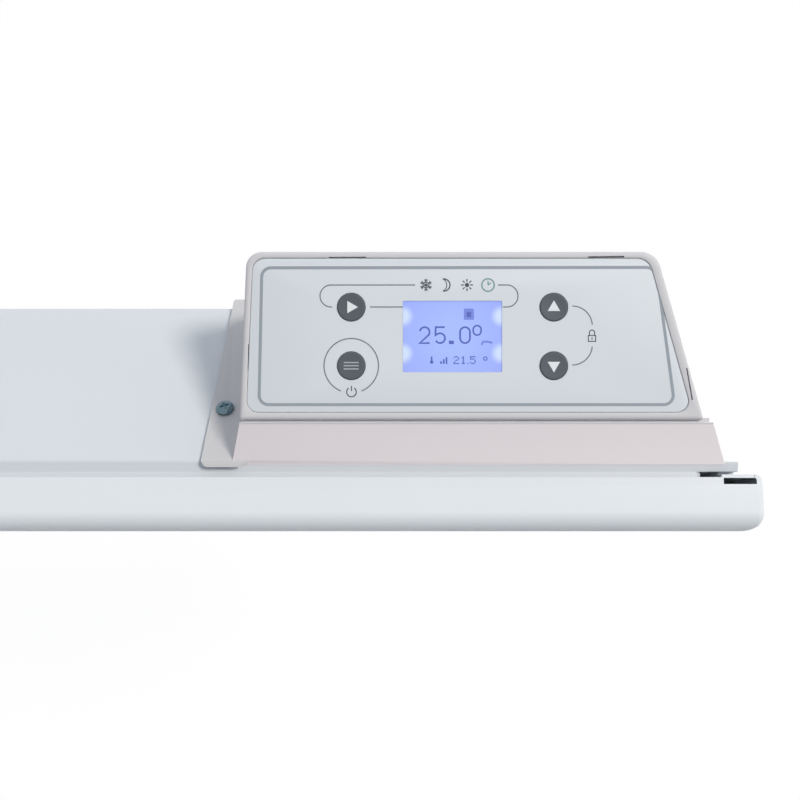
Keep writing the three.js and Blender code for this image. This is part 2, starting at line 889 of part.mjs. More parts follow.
function controlBase() {
  const outside = join(
    wedge(0, wedgeFrontY, baseBackY, baseTopW, 0),
    frontSkirt(),
    flange(),
  );
  const frontInside = wedgeFrontY + baseWall;
  const hollow = wedge(baseWall, frontInside, baseBackY - baseWall, baseTopW + 8, baseWall);
  const body = cut(outside, hollow, cableWindow(cableWindowLip), ...rampScrewHoles());
  return piece("control_base", body, whitePlastic);
}
heater.add(rearCasing(), controlBase());

// ---- Display head ----

// Corners of the face's outline after each edge has moved in by its own amount, front left first
function faceCorners(front, back, left, right) {
  const low = -faceFront + front;
  const high = faceBack - back;
  const leftAt = (v) => faceLeftX(v) - displayX + left;
  const rightAt = (v) => faceRightX(v) - displayX - right;
  return [
    [leftAt(low), low],
    [rightAt(low), low],
    [rightAt(high), high],
    [leftAt(high), high],
  ];
}
const evenCorners = (inset) => faceCorners(inset, inset, inset, inset);
const borderCorners = (more) =>
  faceCorners(borderFront + more, borderBack + more, borderLeft + more, borderRight + more);
const keyPlaces = {
  play: [-keySpanX / 2, keySpanY / 2],
  menu: [-keySpanX / 2, -keySpanY / 2],
  up: [keySpanX / 2, keySpanY / 2],
  down: [keySpanX / 2, -keySpanY / 2],
};
const plateLowW = -plateThickness;
const ledgeTopW = plateLowW - seat;
const ledgeLowW = -boardDrop + seat;
const frameLowW = frameProud - frameHeight;

function displayFrame() {
  const outer = new THREE.ExtrudeGeometry(outline(evenCorners(0), frameRadii), {
    depth: frameHeight - 2 * frameBevel,
    bevelThickness: frameBevel,
    bevelSize: frameBevel,
    bevelOffset: -frameBevel,
    bevelSegments: 2,
    curveSegments: 5,
  });
  return piece(
    "display_frame",
    cut(
      solid(outer.translate(0, 0, frameLowW + frameBevel)),
      slab(outline(borderCorners(0), plateRadii), ledgeTopW, frameProud + 1),
      slab(outline(borderCorners(ledgeWidth), plateRadii), frameLowW - 1, frameProud + 1),
      slab(outline(evenCorners(frameWall), 3), frameLowW - 1, ledgeLowW),
    ),
    whitePlastic,
  );
}

function fasciaPlate() {
  const holes = Object.values(keyPlaces).map(([x, y]) =>
    rod([x, y, plateLowW - 1], [x, y, 1], keyRadius + keyRunning, 32),
  );
  const windowHole = slab(
    rectangle(screenWidth / 2 + seat, screenDepth / 2 + seat),
    plateLowW - 1,
    1,
  );
  const blank = slab(outline(borderCorners(seat), plateRadii), plateLowW, 0);
  return piece("fascia_plate", cut(blank, windowHole, ...holes), platePaint);
}

function screenPieces() {
  const windowPane = slab(
    rectangle(screenWidth / 2, screenDepth / 2, 0.5),
    plateLowW,
    plateLowW + windowThickness,
  );
  const halfX = screenWidth / 2 + moduleMargin;
  const halfY = screenDepth / 2 + moduleMargin;
  const moduleBody = slab(rectangle(halfX, halfY, 1), ledgeLowW, ledgeTopW);
  return [
    piece("lcd_window", windowPane, screenBlue),
    piece("lcd_module", moduleBody, blackPlastic),
    piece(
      "display_board",
      slab(outline(evenCorners(frameWall + seat), 3), -boardDrop - boardThickness, -boardDrop),
      greenBoard,
    ),
  ];
}

// A key: dished cap, flange that stops it under the plate, and the stem that presses the switch
function key(name, [x, y]) {
  const switchTop = ledgeLowW + switchHeight + plungerHeight;
  const stemEnd = switchTop + keyTravel + seat / 2;
  const flangeTop = plateLowW - seat;
  const flangeLow = flangeTop - keyFlangeThickness;
  const profile = [
    [0, stemEnd],
    [keyStemRadius, stemEnd],
    [keyStemRadius, flangeLow],
    [keyFlangeRadius, flangeLow],
    [keyFlangeRadius, flangeTop],
    [keyRadius, flangeTop],
    [keyRadius, keyProud - keyEdge],
    [keyRadius - keyEdge * 0.3, keyProud - keyEdge * 0.3],
    [keyRadius - keyEdge, keyProud],
    [0, keyProud - keyDish],
  ].map((p) => new THREE.Vector2(...p));
  const body = solid(new THREE.LatheGeometry(profile, 24).rotateX(Math.PI / 2));
  return placed(piece(`button_${name}`, body, keyGrey), [x, y, 0]);
}

function tactSwitch(name, [x, y]) {
  const half = switchSide / 2;
  const top = ledgeLowW + switchHeight;
  const body = join(
    box([-half, -half, ledgeLowW], [half, half, top]),
    rod([0, 0, top - 0.5], [0, 0, top + plungerHeight], plungerRadius, 16),
  );
  return placed(piece(`tact_switch_${name}`, body, blackPlastic), [x, y, 0]);
}

const head = new THREE.Group();
head.position.set(displayX, displayY, displayZ);
head.rotation.x = tilt;
head.add(displayFrame(), fasciaPlate(), ...screenPieces());
for (const [name, place] of Object.entries(keyPlaces))
  head.add(key(name, place), tactSwitch(name, place));
heater.add(head);

function controlScrews() {
  const onFlange = aboveRamp(flangeScrewX(), flangeScrewY, 2 * seat + flangeThickness);
  const underRamp = aboveRamp(rearScrewX, rearScrewY, -sheet - seat);
  return [
    placed(piece("control_screw_left", screw(), zincSteel), onFlange, [-rampAngle, 0, 0.4]),
    placed(piece("control_screw_inner", screw(innerScrewLength), zincSteel), underRamp, [
      Math.PI - rampAngle,
      0,
      0,
    ]),
  ];
}
heater.add(...controlScrews());
heater.add(
  ...casingScrewXs.map((x, i) =>
    placed(
      piece(`casing_screw_${i + 1}`, screw(), zincSteel),
      [x, casingScrewY, -topZ - seat],
      [Math.PI, 0, 0],
    ),
  ),
);

// ---- Hot section ----

const elementY = -elementDepth;
const deflectorBackY = backInnerY - deflectorGap;
const deflectorFrontY = deflectorBackY - sheet;
const footBackY = deflectorFrontY - seat;

function airDeflector() {
  const left = seat + sideInset - tubX(backInnerY);
  const right = partitionX - seat * 2;
  const wall = box([left, deflectorFrontY, deflectorBottom], [right, deflectorBackY, deflectorTop]);
  const feet = [deflectorBottom, deflectorTop - sheet].map((z, i) => {
    const turned = i === 0 ? z + deflectorFold : z - deflectorFold;
    return join(
      box([left, deflectorFrontY, z], [right, backInnerY - seat, z + sheet]),
      box(
        [left, backInnerY - seat - sheet, Math.min(z, turned)],
        [right, backInnerY - seat, Math.max(z, turned) + sheet],
      ),
    );
  });
  const windows = [-1, 1].map((side) =>
    box(
      [side * uprightX - hookWidth, deflectorFrontY - 1, deflectorTop - sheet - deflectorFold - 1],
      [side * uprightX + hookWidth, backInnerY, deflectorTop + 1],
    ),
  );
  return piece("air_deflector", cut(join(wall, ...feet), ...windows), zincSteel);
}

function heatingElement() {
  const core = rod([hotLeft, 0, 0], [hotRight, 0, 0], coreRadius, 16);
  const fins = [finAngle, 180 - finAngle, 180 + finAngle, -finAngle].map((angle) =>
    box([hotLeft, 0, -finThickness / 2], [hotRight, finReach, finThickness / 2]).rotate([
      angle,
      0,
      0,
    ]),
  );
  const bore = pinRadius + seat;
  const bores = [
    rod([hotLeft - 1, 0, 0], [hotLeft + pinInset + 1, 0, 0], bore, 12),
    rod([hotRight - pinInset - 1, 0, 0], [hotRight + 1, 0, 0], bore, 12),
  ];
  const element = piece("heating_element", cut(join(core, ...fins), ...bores), aluminium);
  return placed(element, [0, elementY, elementHeight]);
}

// The supports at one end of the element: side is -1 at the left end and 1 at the right
function elementEnd(name, end, side) {
  const plateX = end + side * bracketSetback;
  const near = plateX - sheet / 2;
  const far = plateX + sheet / 2;
  const half = bracketWidth / 2;
  const upright = box(
    [near, elementY - half, elementHeight - half],
    [far, footBackY, elementHeight + half],
  );
  const foot = box(
    [Math.min(near, plateX + side * partitionFoot), footBackY - sheet, elementHeight - half],
    [Math.max(far, plateX + side * partitionFoot), footBackY, elementHeight + half],
  );
  const hole = rod(
    [near - 1, elementY, elementHeight],
    [far + 1, elementY, elementHeight],
    bushRadius - bushShoulder + seat,
    20,
  );
  const pinStart = end - side * pinInset;
  const pinEnd = pinStart + side * pinLength;
  const collar = plateX + side * (sheet / 2 + seat);
  const bush = cut(
    join(
      rod(
        [plateX - (side * bushLength) / 2, elementY, elementHeight],
        [collar + side * bushShoulder, elementY, elementHeight],
        bushRadius - bushShoulder,
        20,
      ),
      rod(
        [collar, elementY, elementHeight],
        [collar + side * (bushShoulder + seat), elementY, elementHeight],
        bushRadius,
        20,
      ),
    ),
    rod(
      [plateX - bushLength, elementY, elementHeight],
      [plateX + bushLength, elementY, elementHeight],
      pinRadius + seat,
      16,
    ),
  );
  return [
    piece(`element_bracket_${name}`, cut(join(upright, foot), hole), zincSteel),
    piece(`element_bush_${name}`, bush, ceramicWhite),
    piece(
      `element_pin_${name}`,
      rod([pinStart, elementY, elementHeight], [pinEnd, elementY, elementHeight], pinRadius, 16),
      zincSteel,
    ),
  ];
}

const leadPassY = elementY;
const leadPassZ = elementHeight + grommetRise;

function partitionPlate() {
  const front = frontInnerY + seat;
  const back = backInnerY - seat;
  const edge = rimZ - sheet - seat;
  const slopeEdge = (y) => rampZ(y) - rampInset - seat;
  const roundBackY = frontY + edgeRadius + seat;
  const half = [
    [front, topZ - edgeRadius - sheet - seat],
    [roundBackY, edge],
    [rampFrontY, slopeEdge(rampFrontY)],
    [back, slopeEdge(back)],
  ];
  const shape = new THREE.Shape();
  half.forEach(([y, z], i) => (i ? shape.lineTo(y, z) : shape.moveTo(y, z)));
  half.toReversed().forEach(([y, z]) => shape.lineTo(y, -z));
  shape.closePath();
  const geometry = new THREE.ExtrudeGeometry(shape, { depth: sheet, bevelEnabled: false });
  geometry.rotateX(Math.PI / 2).rotateZ(Math.PI / 2);
  const wall = solid(geometry.translate(partitionX, 0, 0));
  const foot = box(
    [partitionX, back - sheet, partitionFootRise - plateTopZ],
    [partitionX + partitionFoot, back, hookHeight - hookSlotDrop - hookTip],
  );
  const hole = rod(
    [partitionX - 1, leadPassY, leadPassZ],
    [partitionX + sheet + 1, leadPassY, leadPassZ],
    grommetHole,
    20,
  );
  return piece("partition_plate", cut(join(wall, foot), hole), zincSteel);
}

const cutoutZ = elementHeight + cutoutRise;
const cutoutFrontY = footBackY - cutoutHeight;
const tabX = (side) => cutoutX + side * tabOffset;

function thermalCutout() {
  const base = [cutoutX, footBackY, cutoutZ];
  const can = join(
    rod(base, [cutoutX, footBackY - cutoutRim, cutoutZ], cutoutRadius, 24),
    rod(base, [cutoutX, cutoutFrontY, cutoutZ], cutoutRadius * 0.8, 24),
  );
  const tabs = [-1, 1].map((side) =>
    box(
      [tabX(side) - tabThickness / 2, cutoutFrontY - tabReach, cutoutZ - tabHalf],
      [tabX(side) + tabThickness / 2, cutoutFrontY + 1, cutoutZ + tabHalf],
    ),
  );
  return piece("thermal_cutout", join(can, ...tabs), ceramicWhite);
}

heater.add(airDeflector(), heatingElement(), partitionPlate(), thermalCutout());
heater.add(...elementEnd("left", hotLeft, -1), ...elementEnd("right", hotRight, 1));

// ---- Electronics ----

const trayBackY = backInnerY - seat;
const postFrontY = trayBackY - trayThickness - postHeight;
const boardBackY = postFrontY - seat;
const boardFrontY = boardBackY - boardThickness;
const boardBottom = boardTop - boardHeight;
const postPlaces = [
  [boardLeft + postInset, boardBottom + postInset],
  [boardRight - postInset, boardBottom + postInset],
  [boardLeft + postInset, boardTop - postInset],
  [boardRight - postInset, boardTop - postInset],
];
const boardScrewLength = boardThickness + postHeight - 2;

function boardTray() {
  const base = box(
    [boardLeft - trayMargin, trayBackY - trayThickness, boardBottom - trayMargin],
    [boardRight + trayMargin, trayBackY, boardTop + trayMargin],
  );
  const posts = postPlaces.map(([x, z]) =>
    rod([x, trayBackY - 1, z], [x, postFrontY, z], postRadius, 16),
  );
  const bores = postPlaces.map(([x, z]) =>
    rod(
      [x, postFrontY - 1, z],
      [x, postFrontY + postHeight - 1, z],
      screwShankRadius + screwHole,
      12,
    ),
  );
  return piece("board_tray", cut(join(base, ...posts), ...bores), greyPlastic);
}

function powerBoard() {
  const holes = postPlaces.map(([x, z]) =>
    rod([x, boardFrontY - 1, z], [x, boardBackY + 1, z], screwShankRadius + screwHole, 12),
  );
  const blank = box([boardLeft, boardFrontY, boardBottom], [boardRight, boardBackY, boardTop]);
  return piece("power_board", cut(blank, ...holes), greenBoard);
}

const partBackY = boardFrontY - seat;
const relayX = boardLeft + relayInset;
const relayZ = boardTop - relayBelow;
const terminalX = boardLeft + boardWidth / 2 - terminalWidth / 2;
const terminalZ = boardBottom + terminalRise;
const terminalEntryY = partBackY - terminalHeight * terminalEntryShare;
const wayX = (i) => terminalX + ((i + 0.5) * terminalWidth) / terminalWays;
const transformerX = boardRight - transformerInset - transformerSide;
const transformerZ = relayZ - transformerBelow;
const capacitorX = relayX;
const capacitorZ = relayZ - capacitorBelow;

function boardParts() {
  const relay = cut(
    box(
      [relayX, partBackY - relayHeight, relayZ],
      [relayX + relayWidth, partBackY, relayZ + relayDepth],
    ),
    box(
      [relayX - 1, partBackY - relayHeight - 1, relayZ + relayDepth - relayStep],
      [relayX + relayWidth + 1, partBackY - relayHeight + relayStep, relayZ + relayDepth + 1],
    ),
  );
  const block = box(
    [terminalX, partBackY - terminalHeight, terminalZ],
    [terminalX + terminalWidth, partBackY, terminalZ + terminalDepth],
  );
  const ways = Array.from({ length: terminalWays }, (_, i) => {
    const x = wayX(i);
    const half = terminalEntry / 2;
    return [
      rod(
        [x, partBackY - terminalHeight - 1, terminalZ + terminalDepth / 2],
        [x, partBackY - terminalHeight + terminalScrewDepth, terminalZ + terminalDepth / 2],
        terminalScrewRadius,
        12,
      ),
      box(
        [x - half, terminalEntryY - half, terminalZ - 1],
        [x + half, terminalEntryY + half, terminalZ + terminalEntryDepth],
      ),
    ];
  }).flat();
  const capacitor = cut(
    box(
      [capacitorX, partBackY - capacitorHeight, capacitorZ],
      [capacitorX + capacitorWidth, partBackY, capacitorZ + capacitorDepth],
    ),
    box(
      [capacitorX - 1, partBackY - capacitorStandOff, capacitorZ + capacitorFoot],
      [capacitorX + capacitorWidth + 1, partBackY + 1, capacitorZ + capacitorDepth - capacitorFoot],
    ),
  );
  const side = transformerSide;
  const bobbin = side * bobbinShare;
  const transformer = join(
    box(
      [transformerX, partBackY - transformerHeight, transformerZ + bobbin],
      [transformerX + side, partBackY, transformerZ + side - bobbin],
    ),
    box(
      [transformerX + bobbin, partBackY - transformerHeight + coreSetback, transformerZ],
      [transformerX + side - bobbin, partBackY - coreSetback, transformerZ + side],
    ),
  );
  return [
    piece("relay", relay, blackPlastic),
    piece("terminal_block", cut(block, ...ways), greyPlastic),
    piece("filter_capacitor", capacitor, leadGrey),
    piece("transformer", transformer, copperBrown),
  ];
}

function boardScrews() {
  return [0, 3].map((corner, i) => {
    const [x, z] = postPlaces[corner];
    return placed(
      piece(`board_screw_${i + 1}`, screw(boardScrewLength), zincSteel),
      [x, boardFrontY - seat, z],
      [Math.PI / 2, 0, 0],
    );
  });
}
heater.add(boardTray(), powerBoard(), ...boardParts(), ...boardScrews());

// ---- Supply inlet, sensor and earth ----

const elbowFrontY = backY + seat;
const elbowBackY = -inletWallGap;
const boreY = (elbowFrontY + elbowBackY) / 2;
const spigotEndY = backInnerY - spigotInside;

function cordInlet() {
  const half = inletWidth / 2;
  const elbow = slab(
    outline(
      [
        [inletX - half, elbowFrontY],
        [inletX + half, elbowFrontY],
        [inletX + half, elbowBackY],
        [inletX - half, elbowBackY],
      ],
      [0, 0, 3, 3],
    ),
    inletZ - inletDrop,
    inletZ + inletRise,
  );
  const spigot = rod(
    [inletX, elbowFrontY + 1, inletZ],
    [inletX, spigotEndY, inletZ],
    spigotRadius,
    24,
  );
  const down = rod(
    [inletX, boreY, inletZ - inletDrop - 1],
    [inletX, boreY, inletZ + inletBore],
    inletBore,
    20,
  );
  const through = rod([inletX, boreY, inletZ], [inletX, spigotEndY - 1, inletZ], inletBore, 20);
  return piece("cord_inlet", cut(join(elbow, spigot), down, through), greyPlastic);
}

function inletNut() {
  const back = backInnerY - seat;
  const hex = rod([inletX, back, inletZ], [inletX, back - nutThickness, inletZ], nutRadius, 6);
  const bore = rod(
    [inletX, back + 1, inletZ],
    [inletX, back - nutThickness - 1, inletZ],
    spigotRadius + seat,
    24,
  );
  return piece("inlet_nut", cut(hex, bore), blackPlastic);
}

function sensorProbe() {
  const profile = [
    [0, -sensorReach],
    [sensorRadius * 0.6, -sensorReach],
    [sensorRadius, -sensorReach + 1.2],
    [sensorRadius, -sensorCollarReach],
    [sensorCollar, -sensorCollarReach],
    [sensorCollar, sheet + seat],
    [sensorFlange, sheet + seat],
    [sensorFlange, sheet + seat + sensorFlangeThickness],
    [0, sheet + seat + sensorFlangeThickness],
  ].map((p) => new THREE.Vector2(...p));
  const body = solid(new THREE.LatheGeometry(profile, 20).rotateX(Math.PI / 2));
  return placed(piece("sensor_probe", body, blackPlastic), underside(sensorX, sensorY, 0), [
    rampAngle,
    0,
    0,
  ]);
}

const earthScrew = placed(
  piece("earth_screw", screw(earthScrewLength), zincSteel),
  [earthX, backInnerY - seat, earthZ],
  [Math.PI / 2, 0, 0],
);
heater.add(cordInlet(), inletNut(), sensorProbe(), earthScrew);

// ---- Leads ----

const underTerminal = terminalZ - seat;
const rightPinEnd = hotRight - pinInset + pinLength + seat;
const leftPinEnd = hotLeft + pinInset - pinLength - seat;
const tabEndY = cutoutFrontY - tabReach - seat;
const besidePartition = partitionX + partitionFoot;

// Each lead rises from its terminal way and keeps clear of the others on the way
function leads() {
  const pass = (offset) => [partitionX, leadPassY + offset, leadPassZ];
  const neutral = [
    [wayX(0), terminalEntryY, underTerminal],
    [wayX(0) - 0.67 * leadBend, terminalEntryY - leadBend / 2, underTerminal - 1.5 * leadBend],
    [besidePartition + 0.67 * leadBend, leadPassY + leadBend, leadPassZ - 0.67 * leadBend],
    pass(leadBend / 2),
    [partitionX - 2 * leadBend, leadPassY + leadBend / 3, leadPassZ - leadBend],
    [partitionX - 2.33 * leadBend, elementY, elementHeight + 2.33 * leadBend],
    [rightPinEnd + leadBend, elementY, elementHeight + leadBend / 3],
    [rightPinEnd + leadBend / 3, elementY, elementHeight],
    [rightPinEnd, elementY, elementHeight],
  ];
  const live = [
    [wayX(1), terminalEntryY, underTerminal],
    [wayX(1) - leadBend, terminalEntryY - 1.5 * leadBend, underTerminal - 2 * leadBend],
    [besidePartition + leadBend, leadPassY - 0.67 * leadBend, leadPassZ + leadBend / 2],
    pass(-leadBend / 2),
    [partitionX - 3.33 * leadBend, leadPassY - leadBend / 3, cutoutZ - 2.33 * leadBend],
    [cutoutX + 5.67 * leadBend, tabEndY - 2 * leadBend, cutoutZ - leadBend],
    [tabX(1) + 0.67 * leadBend, tabEndY - 1.17 * leadBend, cutoutZ - leadBend / 6],
    [tabX(1), tabEndY, cutoutZ],
  ];
  const elementLead = [
    [tabX(-1), tabEndY, cutoutZ],
    [tabX(-1) - leadBend, tabEndY - 1.33 * leadBend, cutoutZ + leadBend / 6],
    [cutoutX - 10 * leadBend, tabEndY - 0.67 * leadBend, cutoutZ + leadBend / 3],
    [hotLeft + 10 * leadBend, tabEndY - leadBend / 3, cutoutZ],
    [hotLeft + leadBend, tabEndY - leadBend, cutoutZ - 2.67 * leadBend],
    [leftPinEnd - 0.67 * leadBend, elementY + leadBend / 2, elementHeight + 3.67 * leadBend],
    [leftPinEnd - 0.83 * leadBend, elementY, elementHeight + leadBend / 2],
    [leftPinEnd - leadBend / 3, elementY, elementHeight],
    [leftPinEnd, elementY, elementHeight],
  ];
  const earthTipY = backInnerY - seat - screwHeadHeight - seat;
  const earth = [
    [wayX(2), terminalEntryY, underTerminal],
    [wayX(2) - leadBend / 3, terminalEntryY, underTerminal - 2 * leadBend],
    [earthX + 1.33 * leadBend, earthTipY - 2 * leadBend, earthZ + 1.67 * leadBend],
    [earthX, earthTipY - leadBend, earthZ],
    [earthX, earthTipY, earthZ],
  ];
  const sensorTop = underside(sensorX, sensorY, -sheet - 2 * seat - sensorFlangeThickness);
  const sensorAbove = underside(sensorX, sensorY, -2.33 * leadBend);
  const sensor = [
    sensorTop,
    sensorAbove,
    [sensorX - leadBend, boardFrontY - 1.33 * leadBend, boardBottom - 5 * leadBend],
    [boardRight - 2.67 * leadBend, boardFrontY - 1.5 * leadBend, boardBottom + leadBend / 3],
    [boardRight - 2.83 * leadBend, boardFrontY - leadBend, boardBottom + 1.67 * leadBend],
    [boardRight - 2.83 * leadBend, boardFrontY - seat, boardBottom + 2 * leadBend],
  ];
  return [
    piece("neutral_lead", wire(neutral, leadRadius), leadBlue),
    piece("live_lead", wire(live, leadRadius, 32), copperBrown),
    piece("element_lead", wire(elementLead, leadRadius, 36), copperBrown),
    piece("earth_lead", wire(earth, leadRadius, 16), leadGreen),
    piece("sensor_lead", wire(sensor, leadRadius * 0.8), leadGrey),
  ];
}

function ribbonCable() {
  const half = ribbonThickness / 2;
  const boardUnderW = -boardDrop - boardThickness - seat;
  const startY = faceY(0, boardUnderW);
  const startZ = faceZ(0, boardUnderW);
  const endY = boardFrontY - seat - half;
  const path = new THREE.CatmullRomCurve3(
    [
      [startY, startZ],
      [startY + 1, startZ - 12],
      [startY + 4, (startZ + boardTop) / 2 + 40],
      [endY - 6, (startZ + boardTop) / 2 - 20],
      [endY - 2, boardTop + 4],
      [endY, boardTop - 8],
    ].map(([y, z]) => new THREE.Vector3(displayX + ribbonWidth, y, z)),
  );
  const section = rectangle(ribbonWidth / 2, half);
  const geometry = new THREE.ExtrudeGeometry(section, { steps: 24, extrudePath: path });
  return piece("ribbon_cable", solid(geometry), leadGrey);
}
heater.add(...leads(), ribbonCable());

// ---- Wall bracket, latches and feet ----

const bracketFrontY = -bracketSheet;
const bossFrontY = backY + seat;
const hookFrontY = backInnerY - hookPlay - bracketSheet;

function wallBracket() {
  const half = uprightWidth / 2;
  const uprights = [-1, 1].map((side) => {
    const x = side * uprightX;
    return box([x - half, bracketFrontY, bracketBottom], [x + half, 0, bracketTop]);
  });
  const rail = box([-uprightX, bracketFrontY, -railHeight / 2], [uprightX, 0, railHeight / 2]);
  const hooks = [-1, 1].map((side) => {
    const x = side * uprightX;
    const x0 = x - hookWidth / 2;
    const x1 = x + hookWidth / 2;
    return join(
      box([x0, hookFrontY, hookHeight], [x1, -0.2, hookHeight + bracketSheet]),
      box([x0, hookFrontY, hookHeight], [x1, hookFrontY + bracketSheet, hookHeight + hookTip]),
    );
  });
  const bosses = [-1, 1].map((side) =>
    rod([side * uprightX, -0.2, latchZ], [side * uprightX, bossFrontY, latchZ], bossRadius, 28),
  );
  const bores = [-1, 1].flatMap((side) => {
    const x = side * uprightX;
    const counterEnd = -latchFlangeThickness - 3 * latchPlay;
    return [
      rod([x, 1, latchZ], [x, bossFrontY - 1, latchZ], latchStemRadius + latchPlay, 24),
      rod([x, 1, latchZ], [x, counterEnd, latchZ], latchFlangeRadius + latchPlay, 24),
    ];
  });
  const screwHoles = [-1, 1].flatMap((side) =>
    [bracketTop - wallScrewBelow, bracketBottom + wallScrewAbove].map((z) =>
      rod([side * uprightX, 1, z], [side * uprightX, bracketFrontY - 1, z], wallScrewRadius, 16),
    ),
  );
  return piece(
    "wall_bracket",
    cut(join(rail, ...uprights, ...hooks, ...bosses), ...bores, ...screwHoles),
    whitePaint,
  );
}

// Quarter-turn latch: oblong head in front of the casing's ear, stem through the bracket's boss
function latch(name, side) {
  const headBackY = backInnerY - seat;
  const headFrontY = headBackY - latchHeadThickness;
  const endY = -latchPlay;
  const headBody = standingSlab(
    slotShape(latchHeadLength, latchHeadWidth),
    headFrontY,
    headBackY,
  ).rotate([0, 90, 0]);
  const grip = box(
    [-screwSlot, headFrontY - 1, -latchHeadWidth],
    [screwSlot, headFrontY + 1.2, latchHeadWidth],
  );
  const body = join(
    headBody,
    rod([0, headBackY - 0.5, 0], [0, endY, 0], latchStemRadius, 20),
    rod([0, endY - latchFlangeThickness, 0], [0, endY, 0], latchFlangeRadius, 20),
  );
  return placed(piece(`latch_${name}`, cut(body, grip), blackPlastic), [
    side * uprightX,
    0,
    latchZ,
  ]);
}

// Rubber foot between the casing and the wall, held by a stem pushed through the back plate
function wallFoot(name, side) {
  const face = backY + seat;
  const barb = backInnerY - seat;
  const profile = [
    [0, 0],
    [footRadius - footEdge, 0],
    [footRadius, -footEdge],
    [footRadius * 0.8, face],
    [footStem, face],
    [footStem, barb],
    [footStem + footBarb, barb],
    [footStem * 0.6, barb - footBarbLength],
    [0, barb - footBarbLength],
  ].map(([r, y]) => new THREE.Vector2(r, y));
  const body = solid(new THREE.LatheGeometry(profile.reverse(), 20));
  return placed(piece(`wall_foot_${name}`, body, blackRubber), [side * footX, 0, footZ]);
}
heater.add(wallBracket(), latch("left", -1), latch("right", 1));
heater.add(wallFoot("left", -1), wallFoot("right", 1));

export default heater;
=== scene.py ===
import math

import bmesh
import bpy
from mathutils import Matrix, Vector


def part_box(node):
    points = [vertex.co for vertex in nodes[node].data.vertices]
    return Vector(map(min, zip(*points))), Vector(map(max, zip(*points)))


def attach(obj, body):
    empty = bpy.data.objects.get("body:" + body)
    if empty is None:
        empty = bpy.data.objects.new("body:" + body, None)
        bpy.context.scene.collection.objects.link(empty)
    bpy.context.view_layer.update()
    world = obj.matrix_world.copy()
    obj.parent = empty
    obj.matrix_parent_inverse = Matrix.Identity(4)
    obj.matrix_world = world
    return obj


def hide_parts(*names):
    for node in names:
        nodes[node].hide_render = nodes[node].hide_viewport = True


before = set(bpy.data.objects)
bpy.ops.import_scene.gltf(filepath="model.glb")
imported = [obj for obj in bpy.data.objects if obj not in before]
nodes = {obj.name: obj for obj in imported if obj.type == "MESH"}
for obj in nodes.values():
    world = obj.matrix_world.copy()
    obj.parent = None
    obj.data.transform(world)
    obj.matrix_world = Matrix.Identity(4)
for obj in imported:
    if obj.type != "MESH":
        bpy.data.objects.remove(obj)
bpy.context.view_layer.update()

MM = 0.001

# ---------------------------------------------------------------- sizes, in millimetres
WIDTH, HEIGHT, DEPTH = 640.0, 400.0, 107.0
SHEET, SEAT = 1.2, 0.3
PAST = 1.0  # how far a cutting tool reaches past a face

# front panel
FRONT_Y = -DEPTH
TOP_Z = HEIGHT / 2
EDGE_R, CORNER_R = 7.0, 3.0
PANEL_STEPS = 12
SIDE_BEND_R = 3.0  # side return into its inward flange
RETURN_BACK_Y = FRONT_Y + 19.1
FLANGE_BACK_Y = FRONT_Y + 20.1
FLANGE_END_X = WIDTH / 2 - 14.7
NOTCH_DEPTH = 2.45

# rear casing
RIM_Z = TOP_Z - SHEET - SEAT
STRIP_FALL = 0.9
HEM_FRONT_Y = FLANGE_BACK_Y + 1.0
HEM_END_X, HEM_EDGE, HEM_CORNER_R = 311.6, 0.3, 0.4
TONGUE_HALF, TONGUE_REACH = 299.1, 11.0  # the part of the strip under the panel's return
TONGUE_FRONT_Y = RETURN_BACK_Y - TONGUE_REACH
RAMP_FRONT_Y = RETURN_BACK_Y + 5.6
BACK_Y = -14.0
BACK_INNER_Y = BACK_Y - SHEET
RAMP_FALL, TAPER = 47.2, 19.5
RAMP_SLOPE = RAMP_FALL / (BACK_Y - RAMP_FRONT_Y)
RAMP_ANGLE = math.atan(RAMP_SLOPE)
TAPER_SLOPE = TAPER / (BACK_Y - RAMP_FRONT_Y)
PLATE_TOP_Z = RIM_Z - RAMP_FALL
TUB_HALF, TUB_CORNER_R = 304.5, 4.0
BEND_R, BACK_EDGE_R = 2.0, 1.6

# slots and holes
SLOT_ROWS, SLOTS_X = 3, -72.0  # both slot patterns keep clear of the control head
OUTLET_COUNT, OUTLET_PITCH, OUTLET_ROW_PITCH = 6, 64.0, 11.0
OUTLET_LENGTH, OUTLET_WIDTH, OUTLET_DROP = 52.0, 5.5, 26.0
INLET_COUNT, INLET_PITCH, INLET_ROW_PITCH = 7, 52.0, 14.0
INLET_LENGTH, INLET_WIDTH, INLET_REACH = 40.0, 5.0, 8.0
SMALL_HOLE_R = 1.9
RIM_SCREW_XS = (-220.0, 0.0, 220.0)
RIM_SCREW_Y = RETURN_BACK_Y + (EDGE_R - TONGUE_REACH) / 2
HOOK_X, HOOK_HALF, HOOK_LOW, HOOK_HIGH = 176.0, 9.0, 105.0, 119.8
FOOT_X, FOOT_RISE, FOOT_HOLE_R = 264.0, 10.5, 3.3
CORD_HOLE, CORD_HOLE_R = (226.0, -112.0), 8.3
EARTH_HOLE = (196.0, -92.0)
SENSOR_X, SENSOR_REACH, SENSOR_HOLE_R = 276.0, 6.0, 4.5
CABLE_HALF, CABLE_FRONT_Y, CABLE_BACK_Y = 35.0, -46.3, -22.3  # opening below the control head
EAR_HALF, EAR_DROP, EAR_OVERLAP = 15.0, 21.0, 1.0
EAR_SLOT_DROP, EAR_SLOT_LENGTH, EAR_SLOT_WIDTH = 14.7, 17.6, 6.6

